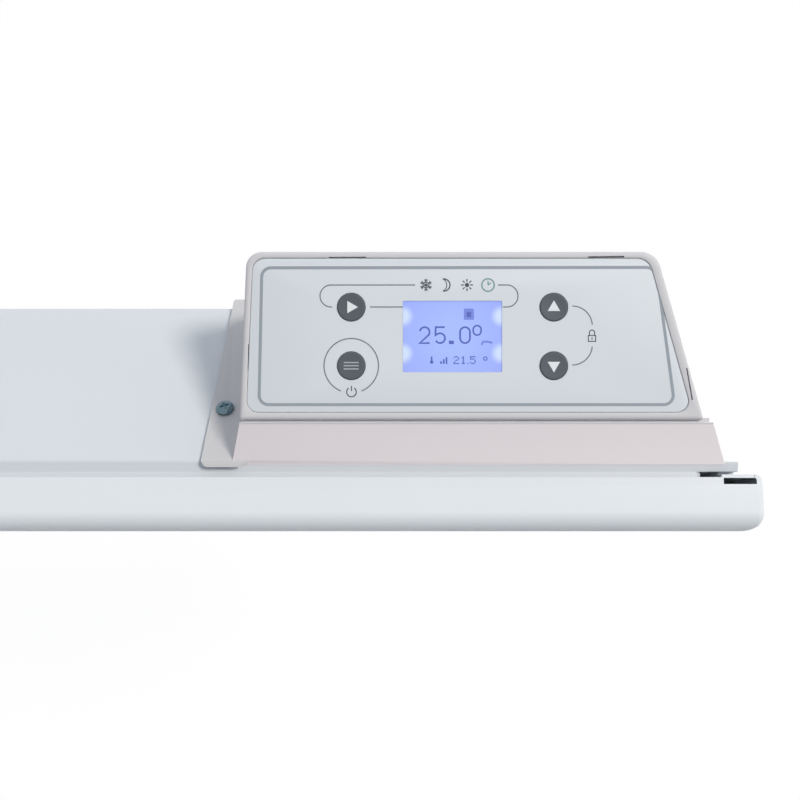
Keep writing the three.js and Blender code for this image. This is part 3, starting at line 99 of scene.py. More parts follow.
# control head; u and v run right and back over its face from the display's middle
TILT = math.radians(8)
HEAD_X = 208.7
FACE = Matrix.Translation((HEAD_X, -40.3, 215.0)) @ Matrix.Rotation(TILT, 4, "X")
FACE_FRONT, FACE_BACK, FACE_LEFT, FACE_RIGHT = 28.8, 29.3, 73.5, 86.8
LEFT_RAKE, RIGHT_RAKE = 2.4, 16.4
FRAME_BORDER = (2.6, 2.3, 2.3, 3.4)  # front, back, left, right
FRAME_PROUD, FRAME_EDGE_R = 0.3, 1.3
OUTER_RADII, INNER_RADII = (0.7, 0.7, 7.0, 5.5), (4.0, 4.0, 5.5, 4.5)
PLATE_GAP = 0.08
WINDOW_U, WINDOW_V, WINDOW_CORNER_R, WINDOW_GAP = 17.05, 12.25, 0.5, 0.05
KEY_U, KEY_V = 34.9, 10.1
KEYS = {"play": (-KEY_U, KEY_V), "menu": (-KEY_U, -KEY_V), "up": (KEY_U, KEY_V), "down": (KEY_U, -KEY_V)}
KEY_R, KEY_EDGE_R, KEY_HOLE_R = 4.9, 0.5, 5.0
FLANGE_LEFT_X, FLANGE_TIP_Y, FLANGE_TAIL_Y = 120.0, RAMP_FRONT_Y - 2.2, BACK_Y + 3.8
FLANGE_TIP_R, FLANGE_TAIL_R, FLANGE_RISE = 3.0, 1.2, 3.5
SKIRT_FRONT_X, SKIRT_BACK_X = 130.6, 135.2  # where the base's left side meets strip and ramp
LEDGE_LOW, LEDGE_HIGH = (-72.4, -29.9, -3.2), (89.2, -28.2, -2.0)
AXIS_R = 0.05  # turned pieces end in a small ring instead of a point


def ramp_z(y):
    return RIM_Z - (y - RAMP_FRONT_Y) * RAMP_SLOPE


def tub_x(y):
    return TUB_HALF - (y - RAMP_FRONT_Y) * TAPER_SLOPE


# ---------------------------------------------------------------- outlines
def rectangle(x0, y0, x1, y1):
    return [(x0, y0), (x1, y0), (x1, y1), (x0, y1)]


def arc(cx, cy, r, start, end, steps=16):
    """Points of an arc, angles in degrees."""
    turns = [math.radians(start + (end - start) * i / steps) for i in range(steps + 1)]
    return [(cx + r * math.cos(a), cy + r * math.sin(a)) for a in turns]


def quarter_turn(r, steps):
    """Round a rounded edge: how far each point is from the edge's end, and how far it has drawn in."""
    turns = [math.radians(90 * i / steps) for i in range(steps + 1)]
    return [(r * (1 - math.sin(a)), r * (1 - math.cos(a))) for a in turns]


def rounded(corners, radii, steps=8):
    """A polygon's outline with each corner turned into an arc."""
    points = []
    count = len(corners)
    for i, corner in enumerate(corners):
        c = Vector(corner)
        r = radii[i] if isinstance(radii, (list, tuple)) else radii
        before = (Vector(corners[i - 1]) - c).normalized()
        after = (Vector(corners[(i + 1) % count]) - c).normalized()
        half = before.angle(after) / 2
        reach = r / math.tan(half)
        centre = c + (before + after).normalized() * (r / math.sin(half))
        p0 = c + before * reach - centre
        p1 = c + after * reach - centre
        turn = p0.angle(p1)
        spin = 1 if p0.x * p1.y - p0.y * p1.x > 0 else -1
        for k in range(steps + 1):
            a = spin * turn * k / steps
            x = centre.x + p0.x * math.cos(a) - p0.y * math.sin(a)
            y = centre.y + p0.x * math.sin(a) + p0.y * math.cos(a)
            points.append((x, y))
    return points


def slot_outline(cx, cy, length, width):
    """A slot with round ends."""
    half, r = (length - width) / 2, width / 2
    return arc(cx + half, cy, r, -90, 90, 10) + arc(cx - half, cy, r, 90, 270, 10)


def slot_xs(count, pitch):
    return [SLOTS_X + (i - (count - 1) / 2) * pitch for i in range(count)]


def at_height(points, z):
    return [(x, y, z) for x, y in points]


# ---------------------------------------------------------------- mesh helpers
def smooth(obj):
    obj.data.shade_smooth()
    obj.data.set_sharp_from_angle(angle=math.radians(32))


def from_bmesh(name, bm):
    bmesh.ops.recalc_face_normals(bm, faces=bm.faces)
    mesh = bpy.data.meshes.new(name)
    bm.to_mesh(mesh)
    bm.free()
    obj = bpy.data.objects.new(name, mesh)
    bpy.context.scene.collection.objects.link(obj)
    smooth(obj)
    return obj


def settle(obj):
    """Makes the modifiers part of the mesh."""
    graph = bpy.context.evaluated_depsgraph_get()
    graph.update()
    mesh = bpy.data.meshes.new_from_object(obj.evaluated_get(graph))
    obj.modifiers.clear()
    obj.data = mesh
    mesh.name = obj.name
    smooth(obj)
    return obj


def loft(bm, rings, closed=False):
    """A skin over rings of equally many points, capped at both ends or closed on itself."""
    rows = [[bm.verts.new(Vector(p) * MM) for p in ring] for ring in rings]
    count = len(rows[0])
    pairs = list(zip(rows, rows[1:]))
    if closed:
        pairs.append((rows[-1], rows[0]))
    for a, b in pairs:
        for i in range(count):
            j = (i + 1) % count
            bm.faces.new((a[i], a[j], b[j], b[i]))
    if not closed:
        bm.faces.new(rows[0])
        bm.faces.new(list(reversed(rows[-1])))


def lofted(name, rings, closed=False):
    bm = bmesh.new()
    loft(bm, rings, closed)
    return from_bmesh(name, bm)


def patch(bm, points, low, high):
    """An outline in x and y drawn out upwards."""
    loft(bm, [at_height(points, low), at_height(points, high)])


def towards_wall(bm, points, front, back):
    """An outline in x and z drawn out towards the wall."""
    loft(bm, [[(x, y, z) for x, z in points] for y in (front, back)])


def block(bm, low, high):
    patch(bm, rectangle(low[0], low[1], high[0], high[1]), low[2], high[2])


def side_block(bm, side, xs, ys, zs):
    """A block at the right end, or with side -1 its like at the left end."""
    x0, x1 = sorted(side * x for x in xs)
    block(bm, (x0, ys[0], zs[0]), (x1, ys[1], zs[1]))


def round_bar(bm, start, end, radius, sides=32):
    a, b = Vector(start), Vector(end)
    along = (b - a).normalized()
    side = along.orthogonal().normalized()
    other = along.cross(side)
    turns = [2 * math.pi * i / sides for i in range(sides)]
    spokes = [side * radius * math.cos(t) + other * radius * math.sin(t) for t in turns]
    loft(bm, [[point + spoke for spoke in spokes] for point in (a, b)])


def wall_hole(bm, x, z, radius):
    """A tool for a round hole in the casing's back plate."""
    round_bar(bm, (x, BACK_INNER_Y - PAST, z), (x, BACK_Y + PAST, z), radius)


def turned(name, profile, sides=64):
    rings = []
    for r, z in profile:
        turns = [2 * math.pi * i / sides for i in range(sides)]
        rings.append([(r * math.cos(t), r * math.sin(t), z) for t in turns])
    return lofted(name, rings)


def stroke(bm, points, width, low, high, closed=False):
    """A flat line of even width through points of the face."""
    pts = [Vector(p) for p in points]
    count = len(pts)
    rows = []
    for i, p in enumerate(pts):
        ahead = pts[(i + 1) % count] if closed or i < count - 1 else None
        behind = pts[i - 1] if closed or i > 0 else None
        d1 = (p - behind).normalized() if behind is not None else None
        d2 = (ahead - p).normalized() if ahead is not None else None
        d = (d1 or d2) if not (d1 and d2) else (d1 + d2).normalized()
        n = Vector((-d.y, d.x))
        stretch = 1.0
        if d1 and d2:
            stretch = 1 / max(0.5, n.dot(Vector((-d1.y, d1.x))))
        a, b = p + n * width / 2 * stretch, p - n * width / 2 * stretch
        rows.append([(a.x, a.y, low), (b.x, b.y, low), (b.x, b.y, high), (a.x, a.y, high)])
    loft(bm, rows, closed)


def cut(obj, build):
    """Takes away the solids that build() adds to an empty mesh."""
    bm = bmesh.new()
    build(bm)
    tool = from_bmesh("tool", bm)
    mod = obj.modifiers.new("cut", "BOOLEAN")
    mod.operation = "DIFFERENCE"
    mod.solver = "EXACT"
    mod.object = tool
    settle(obj)
    bpy.data.objects.remove(tool)
    return obj


def add(obj, build):
    """Adds the solids that build() draws to a piece's own mesh."""
    bm = bmesh.new()
    bm.from_mesh(obj.data)
    build(bm)
    bm.to_mesh(obj.data)
    bm.free()
    return obj


def absorb(bm, piece):
    bm.from_mesh(piece.data)
    bpy.data.objects.remove(piece)


def soften(obj, width, segments=2, angle=25):
    """Rounds the edges that turn by more than an angle."""
    bm = bmesh.new()
    bm.from_mesh(obj.data)
    bmesh.ops.remove_doubles(bm, verts=bm.verts, dist=1e-6)
    bmesh.ops.dissolve_limit(bm, angle_limit=math.radians(1), verts=bm.verts, edges=bm.edges)
    bm.to_mesh(obj.data)
    bm.free()
    mod = obj.modifiers.new("soft edges", "BEVEL")
    mod.width = width * MM
    mod.segments = segments
    mod.limit_method = "ANGLE"
    mod.angle_limit = math.radians(angle)
    mod.use_clamp_overlap = True
    return settle(obj)


def finer_copy(node, width, segments=2, angle=25):
    """A CAD node's shape as a new piece with rounded edges."""
    obj = bpy.data.objects.new(node + "_shape", nodes[node].data.copy())
    obj.data.materials.clear()
    bpy.context.scene.collection.objects.link(obj)
    return soften(obj, width, segments, angle)


def move(obj, matrix):
    """Turns and shifts a piece built in millimetres."""
    scaled = matrix.copy()
    scaled.translation = matrix.translation * MM
    obj.data.transform(scaled)
    return obj


# ---------------------------------------------------------------- material helpers
def material(name):
    mat = bpy.data.materials.new(name)
    mat.use_nodes = True
    tree = mat.node_tree
    tree.nodes.clear()
    out = tree.nodes.new("ShaderNodeOutputMaterial")
    shader = tree.nodes.new("ShaderNodeBsdfPrincipled")
    tree.links.new(shader.outputs["BSDF"], out.inputs["Surface"])
    return mat, tree, shader


def srgb(r, g, b):
    def linear(c):
        c = c / 255
        return c / 12.92 if c <= 0.04045 else ((c + 0.055) / 1.055) ** 2.4

    return (linear(r), linear(g), linear(b), 1.0)


def darker(color, share):
    return tuple(c * share for c in color[:3]) + (1.0,)


def coordinates(tree):
    return tree.nodes.new("ShaderNodeTexCoord").outputs["Object"]


def connect(tree, value, socket):
    """Links a socket, or sets a plain value."""
    if isinstance(value, bpy.types.NodeSocket):
        tree.links.new(value, socket)
    else:
        socket.default_value = value


def noise(tree, coords, scale, detail=3.0):
    node = tree.nodes.new("ShaderNodeTexNoise")
    node.inputs["Scale"].default_value = scale
    node.inputs["Detail"].default_value = detail
    node.inputs["Roughness"].default_value = 0.55
    tree.links.new(coords, node.inputs["Vector"])
    return node.outputs["Fac"]


def spread(tree, value, low, high, from_low=0.3, from_high=0.7, kind="LINEAR"):
    node = tree.nodes.new("ShaderNodeMapRange")
    node.interpolation_type = kind
    node.inputs["From Min"].default_value = from_low
    node.inputs["From Max"].default_value = from_high
    node.inputs["To Min"].default_value = low
    node.inputs["To Max"].default_value = high
    tree.links.new(value, node.inputs["Value"])
    return node.outputs["Result"]


def blend(tree, factor, first, second):
    node = tree.nodes.new("ShaderNodeMix")
    node.data_type = "RGBA"
    for value, socket in ((factor, node.inputs[0]), (first, node.inputs[6]), (second, node.inputs[7])):
        connect(tree, value, socket)
    return node.outputs[2]


def combine(tree, operation, first, second):
    node = tree.nodes.new("ShaderNodeMath")
    node.operation = operation
    connect(tree, first, node.inputs[0])
    connect(tree, second, node.inputs[1])
    return node.outputs["Value"]


def distance_to(tree, coords, place):
    """Distance in metres from a place in millimetres."""
    node = tree.nodes.new("ShaderNodeVectorMath")
    node.operation = "DISTANCE"
    tree.links.new(coords, node.inputs[0])
    node.inputs[1].default_value = place * MM
    return node.outputs["Value"]


def bump(tree, shader, height, strength, distance):
    node = tree.nodes.new("ShaderNodeBump")
    node.inputs["Strength"].default_value = strength
    node.inputs["Distance"].default_value = distance * MM
    tree.links.new(height, node.inputs["Height"])
    tree.links.new(node.outputs["Normal"], shader.inputs["Normal"])


# ---------------------------------------------------------------- materials
def grained(name, color, rough, grain=900, relief=0.03, vary=0.03, strength=0.5, coat=0.0):
    """Paint or plastic: cloudy tone, uneven gloss and a fine relief."""
    mat, tree, shader = material(name)
    coords = coordinates(tree)
    clouds = spread(tree, noise(tree, coords, 9, 4), 0, 1)
    fine = noise(tree, coords, grain, 2)
    tone = blend(tree, clouds, darker(color, 1 - vary), darker(color, 1 + vary / 2))
    tone = blend(tree, spread(tree, fine, 0.0, 0.5), tone, darker(color, 1 - vary))
    tree.links.new(tone, shader.inputs["Base Color"])
    gloss = spread(tree, noise(tree, coords, 60, 3), rough - 0.05, rough + 0.05)
    tree.links.new(gloss, shader.inputs["Roughness"])
    shader.inputs["Specular IOR Level"].default_value = 0.25
    shader.inputs["Coat Weight"].default_value = coat
    shader.inputs["Coat Roughness"].default_value = 0.15
    bump(tree, shader, fine, strength, relief)
    return mat


def brushed(name, color, rough, along=(0.02, 1, 1), scale=1500):
    """Rolled or brushed metal: long fine streaks."""
    mat, tree, shader = material(name)
    mapping = tree.nodes.new("ShaderNodeMapping")
    mapping.inputs["Scale"].default_value = along
    tree.links.new(coordinates(tree), mapping.inputs["Vector"])
    streaks = noise(tree, mapping.outputs["Vector"], scale, 3)
    clouds = noise(tree, coordinates(tree), 25, 4)
    tone = blend(tree, spread(tree, streaks, 0, 1), darker(color, 0.86), color)
    tone = blend(tree, spread(tree, clouds, 0, 0.25), tone, darker(color, 0.8))
    tree.links.new(tone, shader.inputs["Base Color"])
    tree.links.new(spread(tree, streaks, rough - 0.08, rough + 0.1), shader.inputs["Roughness"])
    shader.inputs["Metallic"].default_value = 0.9
    bump(tree, shader, streaks, 0.25, 0.02)
    return mat


GLOW_US, GLOW_VS = (-17.2, 17.0), (7.0, -5.8)  # where the lamps behind the display shine in
GLOW_CORE, GLOW_REACH = 1.4, 4.4
SCREEN_LIGHT = 0.63


def screen_material():
    """A back-lit blue display: brighter patches where the lamps shine in from the left and right."""
    mat, tree, shader = material("screen")
    coords = coordinates(tree)
    glow = 0.0
    for u in GLOW_US:
        for v in GLOW_VS:
            away = distance_to(tree, coords, FACE @ Vector((u, v, 0)))
            spot = spread(tree, away, 1, 0, GLOW_CORE * MM, GLOW_REACH * MM, "SMOOTHSTEP")
            glow = combine(tree, "MAXIMUM", glow, spot)
    edge = spread(tree, distance_to(tree, coords, FACE.translation), 0, 1, 0.006, 0.02)
    base = blend(tree, edge, srgb(168, 188, 255), srgb(158, 174, 252))
    cells = spread(tree, noise(tree, coords, 2600, 1), 0, 0.12)
    base = blend(tree, cells, base, srgb(140, 155, 235))
    light = blend(tree, glow, base, srgb(206, 222, 255))
    tree.links.new(light, shader.inputs["Emission Color"])
    shader.inputs["Emission Strength"].default_value = SCREEN_LIGHT
    dim = blend(tree, 0.6, light, (0.02, 0.03, 0.06, 1))
    tree.links.new(dim, shader.inputs["Base Color"])
    tree.links.new(spread(tree, noise(tree, coords, 90, 2), 0.08, 0.16), shader.inputs["Roughness"])
    shader.inputs["Specular IOR Level"].default_value = 0.3
    return mat


def board_material():
    """Green board with a pattern of paler tracks."""
    mat, tree, shader = material("circuit_board")
    coords = coordinates(tree)
    pattern = tree.nodes.new("ShaderNodeTexVoronoi")
    pattern.distance = "MANHATTAN"
    pattern.feature = "DISTANCE_TO_EDGE"
    pattern.inputs["Scale"].default_value = 160
    tree.links.new(coords, pattern.inputs["Vector"])
    tracks = spread(tree, pattern.outputs["Distance"], 1, 0, 0.04, 0.07)
    tone = blend(tree, tracks, srgb(28, 84, 52), srgb(46, 118, 74))
    tree.links.new(tone, shader.inputs["Base Color"])
    tree.links.new(spread(tree, noise(tree, coords, 300), 0.3, 0.45), shader.inputs["Roughness"])
    bump(tree, shader, tracks, 0.3, 0.05)
    return mat


def winding_material():
    """Copper wire wound in fine rows."""
    mat, tree, shader = material("copper_winding")
    wave = tree.nodes.new("ShaderNodeTexWave")
    wave.inputs["Scale"].default_value = 900
    wave.inputs["Distortion"].default_value = 0.4
    tree.links.new(coordinates(tree), wave.inputs["Vector"])
    tone = blend(tree, wave.outputs["Fac"], srgb(96, 52, 30), srgb(168, 98, 58))
    tree.links.new(tone, shader.inputs["Base Color"])
    tree.links.new(spread(tree, wave.outputs["Fac"], 0.5, 0.35, 0, 1), shader.inputs["Roughness"])
    shader.inputs["Metallic"].default_value = 0.3
    bump(tree, shader, wave.outputs["Fac"], 0.5, 0.1)
    return mat


MATERIALS = {
    "screen": screen_material(),
    "circuit_board": board_material(),
    "copper_winding": winding_material(),
    "zinc_steel": brushed("zinc_steel", srgb(176, 180, 184), 0.38),
    "screw_steel": brushed("screw_steel", srgb(112, 136, 148), 0.14, (1, 1, 1), 2500),
    "bare_aluminium": brushed("bare_aluminium", srgb(196, 198, 201), 0.34),
}


def finishes(colors, **alike):
    """Grained finishes that differ only in colour and in how much it varies."""
    for name, (color, vary) in colors.items():
        MATERIALS[name] = grained(name, srgb(*color), vary=vary, **alike)


PAINTS = {"white_paint": ((222, 227, 231), 0.012), "casing_paint": ((206, 211, 216), 0.012)}
# white_plastic is whiter than the base's own plastic: painted light that makes up for the shade on the
# base's sloping front
HEAD_PLASTICS = {"white_plastic": ((236, 229, 232), 0.02), "flange_plastic": ((196, 196, 198), 0.02)}
PRINTS = {
    "print_line": ((150, 159, 168), 0.06),
    "print_dark": ((74, 80, 88), 0.1),
    "print_grey": ((118, 125, 133), 0.06),
    "print_teal": ((126, 158, 162), 0.1),
    "print_soft": ((168, 174, 180), 0.04),
    "print_light": ((226, 230, 233), 0.04),
    "segment": ((92, 106, 188), 0.06),
    "segment_pale": ((124, 142, 226), 0.06),
}
LEADS = {
    "lead_brown": ((112, 66, 38), 0.1),
    "lead_blue": ((44, 74, 140), 0.1),
    "lead_green": ((104, 140, 52), 0.1),
    "lead_grey": ((184, 187, 191), 0.05),
}
OTHER_PLASTICS = {"black_plastic": ((38, 40, 43), 0.12), "grey_plastic": ((140, 145, 150), 0.06)}
finishes(PAINTS, rough=0.42, grain=1400, relief=0.012, strength=0.35, coat=0.04)
finishes(HEAD_PLASTICS, rough=0.5, grain=2600, relief=0.02)
finishes({"frame_plastic": ((204, 203, 206), 0.02)}, rough=0.48, grain=2600, relief=0.02)
finishes({"fascia": ((213, 219, 224), 0.012)}, rough=0.55, grain=1800, relief=0.006, strength=0.25)
finishes({"key_grey": ((86, 92, 99), 0.08)}, rough=0.5, grain=3000, relief=0.02)
finishes(PRINTS, rough=0.5, grain=2200, relief=0.004, strength=0.2)
finishes(LEADS, rough=0.5, grain=900, relief=0.02)
finishes(OTHER_PLASTICS, rough=0.55, grain=1500, relief=0.04)
finishes({"ceramic": ((232, 228, 218), 0.05)}, rough=0.7, grain=700, relief=0.05)
finishes({"black_rubber": ((34, 34, 35), 0.15)}, rough=0.8, grain=900, relief=0.06)


def dress(obj, name):
    obj.data.materials.clear()
    obj.data.materials.append(MATERIALS[name])
    return obj


def stand_in(obj, name, *replaced, body="heater", slot=None):
    """A piece that is shown in place of CAD nodes."""
    dress(obj, name)
    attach(obj, body)
    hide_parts(*replaced)
    return obj


def extra(obj, name, body="heater"):
    """A piece with no CAD node of its own."""
    dress(obj, name)
    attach(obj, body)
    return obj


# ---------------------------------------------------------------- sheet metal
def tray_ring(y, inset, least_r, inset_z=None):
    """The front panel's outline at one depth; its corners tighten as it draws in."""
    x, z = WIDTH / 2 - inset, TOP_Z - (inset if inset_z is None else inset_z)
    outline = rounded(rectangle(-x, -z, x, z), max(CORNER_R - inset, least_r))
    return [(x, y, z) for x, z in outline]


def panel_trims(bm):
    """The earlier end of the top and bottom returns, the outlet slots and the screw holes."""
    for z0, z1 in ((-TOP_Z - PAST, -TOP_Z + CORNER_R), (TOP_Z - CORNER_R, TOP_Z + PAST)):
        half = WIDTH / 2 - CORNER_R
        block(bm, (-half, RETURN_BACK_Y, z0), (half, FLANGE_BACK_Y + 2 * PAST, z1))
    for row in range(SLOT_ROWS):
        z = TOP_Z - OUTLET_DROP - row * OUTLET_ROW_PITCH
        for x in slot_xs(OUTLET_COUNT, OUTLET_PITCH):
            slot = slot_outline(x, z, OUTLET_LENGTH, OUTLET_WIDTH)
            towards_wall(bm, slot, FRONT_Y - PAST, FRONT_Y + SHEET + PAST)
    for x in RIM_SCREW_XS:
        round_bar(bm, (x, RIM_SCREW_Y, -TOP_Z - PAST), (x, RIM_SCREW_Y, -TOP_Z + SHEET + PAST), SMALL_HOLE_R)


def panel_notches(bm):
    ys = (RETURN_BACK_Y - NOTCH_DEPTH, FLANGE_BACK_Y + 2 * PAST)
    for side in (-1, 1):
        side_block(bm, side, (FLANGE_END_X, WIDTH / 2 + PAST), ys, (TOP_Z - SHEET - 0.1, TOP_Z + PAST))


def panel_flanges(bm):
    ys = (FLANGE_BACK_Y - SHEET, FLANGE_BACK_Y)
    for side in (-1, 1):
        side_block(bm, side, (FLANGE_END_X, WIDTH / 2 - SIDE_BEND_R), ys, (-TOP_Z + SHEET, RIM_Z))


def front_panel():
    rings = []
    for inset, depth in quarter_turn(EDGE_R, PANEL_STEPS):
        rings.append(tray_ring(FRONT_Y + depth, inset, 1.0))
    for skin, order in ((0, range(7)), (SHEET, range(6, -1, -1))):
        r = SIDE_BEND_R - skin
        for i in order:
            a = math.radians(15 * i)
            y = FLANGE_BACK_Y - SIDE_BEND_R + r * math.sin(a)
            rings.append(tray_ring(y, SIDE_BEND_R - r * math.cos(a), 0.6, inset_z=skin))
    for inset, depth in reversed(quarter_turn(EDGE_R - SHEET, PANEL_STEPS)):
        rings.append(tray_ring(FRONT_Y + SHEET + depth, SHEET + inset, 0.6))
    obj = lofted("front_panel_shape", rings)
    cut(obj, panel_trims)
    cut(obj, panel_notches)
    return add(obj, panel_flanges)


def tub_ring(y, half_x, half_z, corner_r):
    outline = rounded(rectangle(-half_x, -half_z, half_x, half_z), corner_r, 6)
    return [(x, y, z) for x, z in outline]


def bend_profile(offset):
    """(y, height, side place) through the ridge between strip and ramp, on a skin offset inwards."""
    fall = math.atan(STRIP_FALL / (RAMP_FRONT_Y - HEM_FRONT_Y))
    rows = []
    for i in range(9):
        a = -fall + (RAMP_ANGLE + fall) * i / 8
        y = RAMP_FRONT_Y + (BEND_R - offset) * math.sin(a)
        z = RIM_Z - BEND_R + (BEND_R - offset) * math.cos(a)
        rows.append((y, z, tub_x(max(y, RAMP_FRONT_Y)) - offset))
    return rows


def strip_profile(offset, start):
    """(y, height, side place) of the tongue and the step from it to the strip."""
    z = RIM_Z - STRIP_FALL - offset
    narrow, wide = TONGUE_HALF - offset, TUB_HALF - offset
    return [(TONGUE_FRONT_Y, z, narrow), (start, z, narrow), (start + 0.05, z, wide)]


def hem_section(x, inset):
    """Section of the folded hem down the side, its top in line with the strip."""
    y0, y1 = HEM_FRONT_Y + inset, RAMP_FRONT_Y - inset
    z0, z1 = RIM_Z - STRIP_FALL - inset, RIM_Z - inset
    outline = rounded([(y0, -z0), (y1, -z1), (y1, z1), (y0, z0)], HEM_CORNER_R, 4)
    return [(x, y, z) for y, z in outline]


def hems(bm):
    """The hems, each with its inner fold behind the front panel's side flange."""
    for side in (-1, 1):
        stations = ((TONGUE_HALF, 0), (HEM_END_X - HEM_EDGE, 0), (HEM_END_X, HEM_EDGE))
        loft(bm, [hem_section(side * x, inset) for x, inset in stations])
        xs = (FLANGE_END_X + 0.5, HEM_END_X - 0.1)
        side_block(bm, side, xs, (FLANGE_BACK_Y + 0.1, HEM_FRONT_Y + 0.5), (-RIM_Z + 5, RIM_Z - 5))


def casing_openings(bm):
    through = (BACK_INNER_Y - PAST, BACK_Y + PAST)
    for side in (-1, 1):
        side_block(bm, side, (HOOK_X - HOOK_HALF, HOOK_X + HOOK_HALF), through, (HOOK_LOW, HOOK_HIGH))
        wall_hole(bm, side * FOOT_X, -PLATE_TOP_Z + FOOT_RISE, FOOT_HOLE_R)
    wall_hole(bm, *CORD_HOLE, CORD_HOLE_R)
    wall_hole(bm, *EARTH_HOLE, SMALL_HOLE_R)
    low = (HEAD_X - CABLE_HALF, CABLE_FRONT_Y, PLATE_TOP_Z + 4)
    block(bm, low, (HEAD_X + CABLE_HALF, CABLE_BACK_Y, RIM_Z + PAST))
    middle_y = (RAMP_FRONT_Y + BACK_Y) / 2
    for row in range(SLOT_ROWS):
        y = middle_y + (row - (SLOT_ROWS - 1) / 2) * INLET_ROW_PITCH
        for x in slot_xs(INLET_COUNT, INLET_PITCH):
            slot = slot_outline(x, y, INLET_LENGTH, INLET_WIDTH)
            patch(bm, slot, -ramp_z(y) - INLET_REACH, -ramp_z(y) + INLET_REACH)
    middle = Vector((SENSOR_X, middle_y, -ramp_z(middle_y)))
    outwards = Vector((0, math.sin(RAMP_ANGLE), -math.cos(RAMP_ANGLE))) * SENSOR_REACH
    round_bar(bm, middle - outwards, middle + outwards, SENSOR_HOLE_R)
    for x in RIM_SCREW_XS:
        round_bar(bm, (x, RIM_SCREW_Y, -RIM_Z - PAST), (x, RIM_SCREW_Y, -RIM_Z + SHEET + PAST), SMALL_HOLE_R)


def ear(side):
    """A lug at the foot of the back plate, with the slot that a latch goes through."""
    x = side * HOOK_X
    bm = bmesh.new()
    low = (x - EAR_HALF, BACK_INNER_Y, -PLATE_TOP_Z - EAR_DROP)
    block(bm, low, (x + EAR_HALF, BACK_Y, -PLATE_TOP_Z + EAR_OVERLAP))
    slot = slot_outline(x, -PLATE_TOP_Z - EAR_SLOT_DROP, EAR_SLOT_LENGTH, EAR_SLOT_WIDTH)

    def latch_slot(tool):
        towards_wall(tool, slot, BACK_INNER_Y - PAST, BACK_Y + PAST)

    return cut(from_bmesh("ear", bm), latch_slot)


def ears(bm):
    for side in (-1, 1):
        absorb(bm, ear(side))


def rear_casing():
    outside = strip_profile(0, HEM_FRONT_Y) + bend_profile(0)
    for ahead, inset in quarter_turn(BACK_EDGE_R, 5):
        y = BACK_Y - ahead
        outside.append((y, ramp_z(y) - inset, tub_x(y) - inset))
    inside = strip_profile(SHEET, HEM_FRONT_Y + SHEET) + bend_profile(SHEET)
    lift = SHEET / math.cos(RAMP_ANGLE)
    inside.append((BACK_INNER_Y, ramp_z(BACK_INNER_Y) - lift, tub_x(BACK_INNER_Y) - SHEET))
    rings = [tub_ring(y, x, z, TUB_CORNER_R) for y, z, x in reversed(outside)]
    rings += [tub_ring(y, x, z, TUB_CORNER_R - SHEET) for y, z, x in inside]
    obj = lofted("rear_casing_shape", rings)
    add(obj, hems)
    cut(obj, casing_openings)
    add(obj, ears)
    smooth(obj)
    return obj


stand_in(front_panel(), "white_paint", "front_panel")
stand_in(rear_casing(), "casing_paint", "rear_casing", slot="white_paint")


# ---------------------------------------------------------------- control base
def seam_backing(bm):
    """A ledge a little way down the joint between the frame and the base's front lip."""
    ledge = bmesh.new()
    block(ledge, LEDGE_LOW, LEDGE_HIGH)
    absorb(bm, move(from_bmesh("seam_backing", ledge), FACE))


def flange_corners(bm):
    """Tools that round the flange's two outer corners."""
    x = FLANGE_LEFT_X
    for y, turn, r in ((FLANGE_TIP_Y, 1, FLANGE_TIP_R), (FLANGE_TAIL_Y, -1, FLANGE_TAIL_R)):
        bow = arc(x + r, y + turn * r, r, 180, 180 + turn * 90, 6)
        around = [(x + r, y - turn), (x - PAST, y - turn), (x - PAST, y + turn * r)]
        patch(bm, bow + around, PLATE_TOP_Z - 9, RIM_Z + 4)


def tint_base(obj):
    """The screw flange takes a greyer tone. The level faces take the frame's darker tone as painted shade,
    because the rest of the base is whitened as painted light to make up for the shade on its sloping front.
    """
    for name in ("flange_plastic", "frame_plastic"):
        obj.data.materials.append(MATERIALS[name])
    for face in obj.data.polygons:
        x, y, z = face.center / MM
        skirt_x = SKIRT_BACK_X if y > RAMP_FRONT_Y + 0.5 else SKIRT_FRONT_X
        if x < skirt_x and z < ramp_z(y) + FLANGE_RISE:
            face.material_index = 1
        # level faces: painted shade, the frame's darker tone set against the base's whitened plastic
        elif face.normal.z > 0.9:
            face.material_index = 2


def feather_foot(obj):
    """Draws the foot and the flange's tip out to a thin edge on the strip."""
    thin, flange_thin, sunk = 0.05, 0.35, 0.35
    for vertex in obj.data.vertices:
        x, y, z = vertex.co / MM
        if y < RAMP_FRONT_Y - 0.3 and z < RIM_Z + 2.5:
            vertex.co.z = min(z, RIM_Z + (thin if x > SKIRT_FRONT_X - 0.2 else flange_thin)) * MM
            if z < RIM_Z + 0.5:
                vertex.co.z = (RIM_Z - sunk) * MM


base = cut(finer_copy("control_base", 0.45, 3), flange_corners)
add(base, seam_backing)
stand_in(base, "white_plastic", "control_base")
tint_base(base)
feather_foot(base)


# ---------------------------------------------------------------- control face
# the photograph's middle on the face, and its scale there; pixel places below go through these
MIDDLE_PIXEL, MIDDLE_U, MIDDLE_V, PIXELS_PER_MM = 400, -18.1, -21.9, 2.902
JOINT_GAPS = (  # where the joint round the plate gapes a little: two end pixels, width in mm
    ((329, 257.9), (366, 257.6), 0.6),
    ((588, 257.2), (624, 256.8), 0.55),
    ((248.6, 344), (247.9, 370), 0.28),
    ((686.5, 368), (692.0, 400), 0.5),
)


def face_point(px, py):
    """A pixel of the photograph as a place on the face."""
    return ((px - MIDDLE_PIXEL) / PIXELS_PER_MM + MIDDLE_U, (MIDDLE_PIXEL - py) / PIXELS_PER_MM + MIDDLE_V)


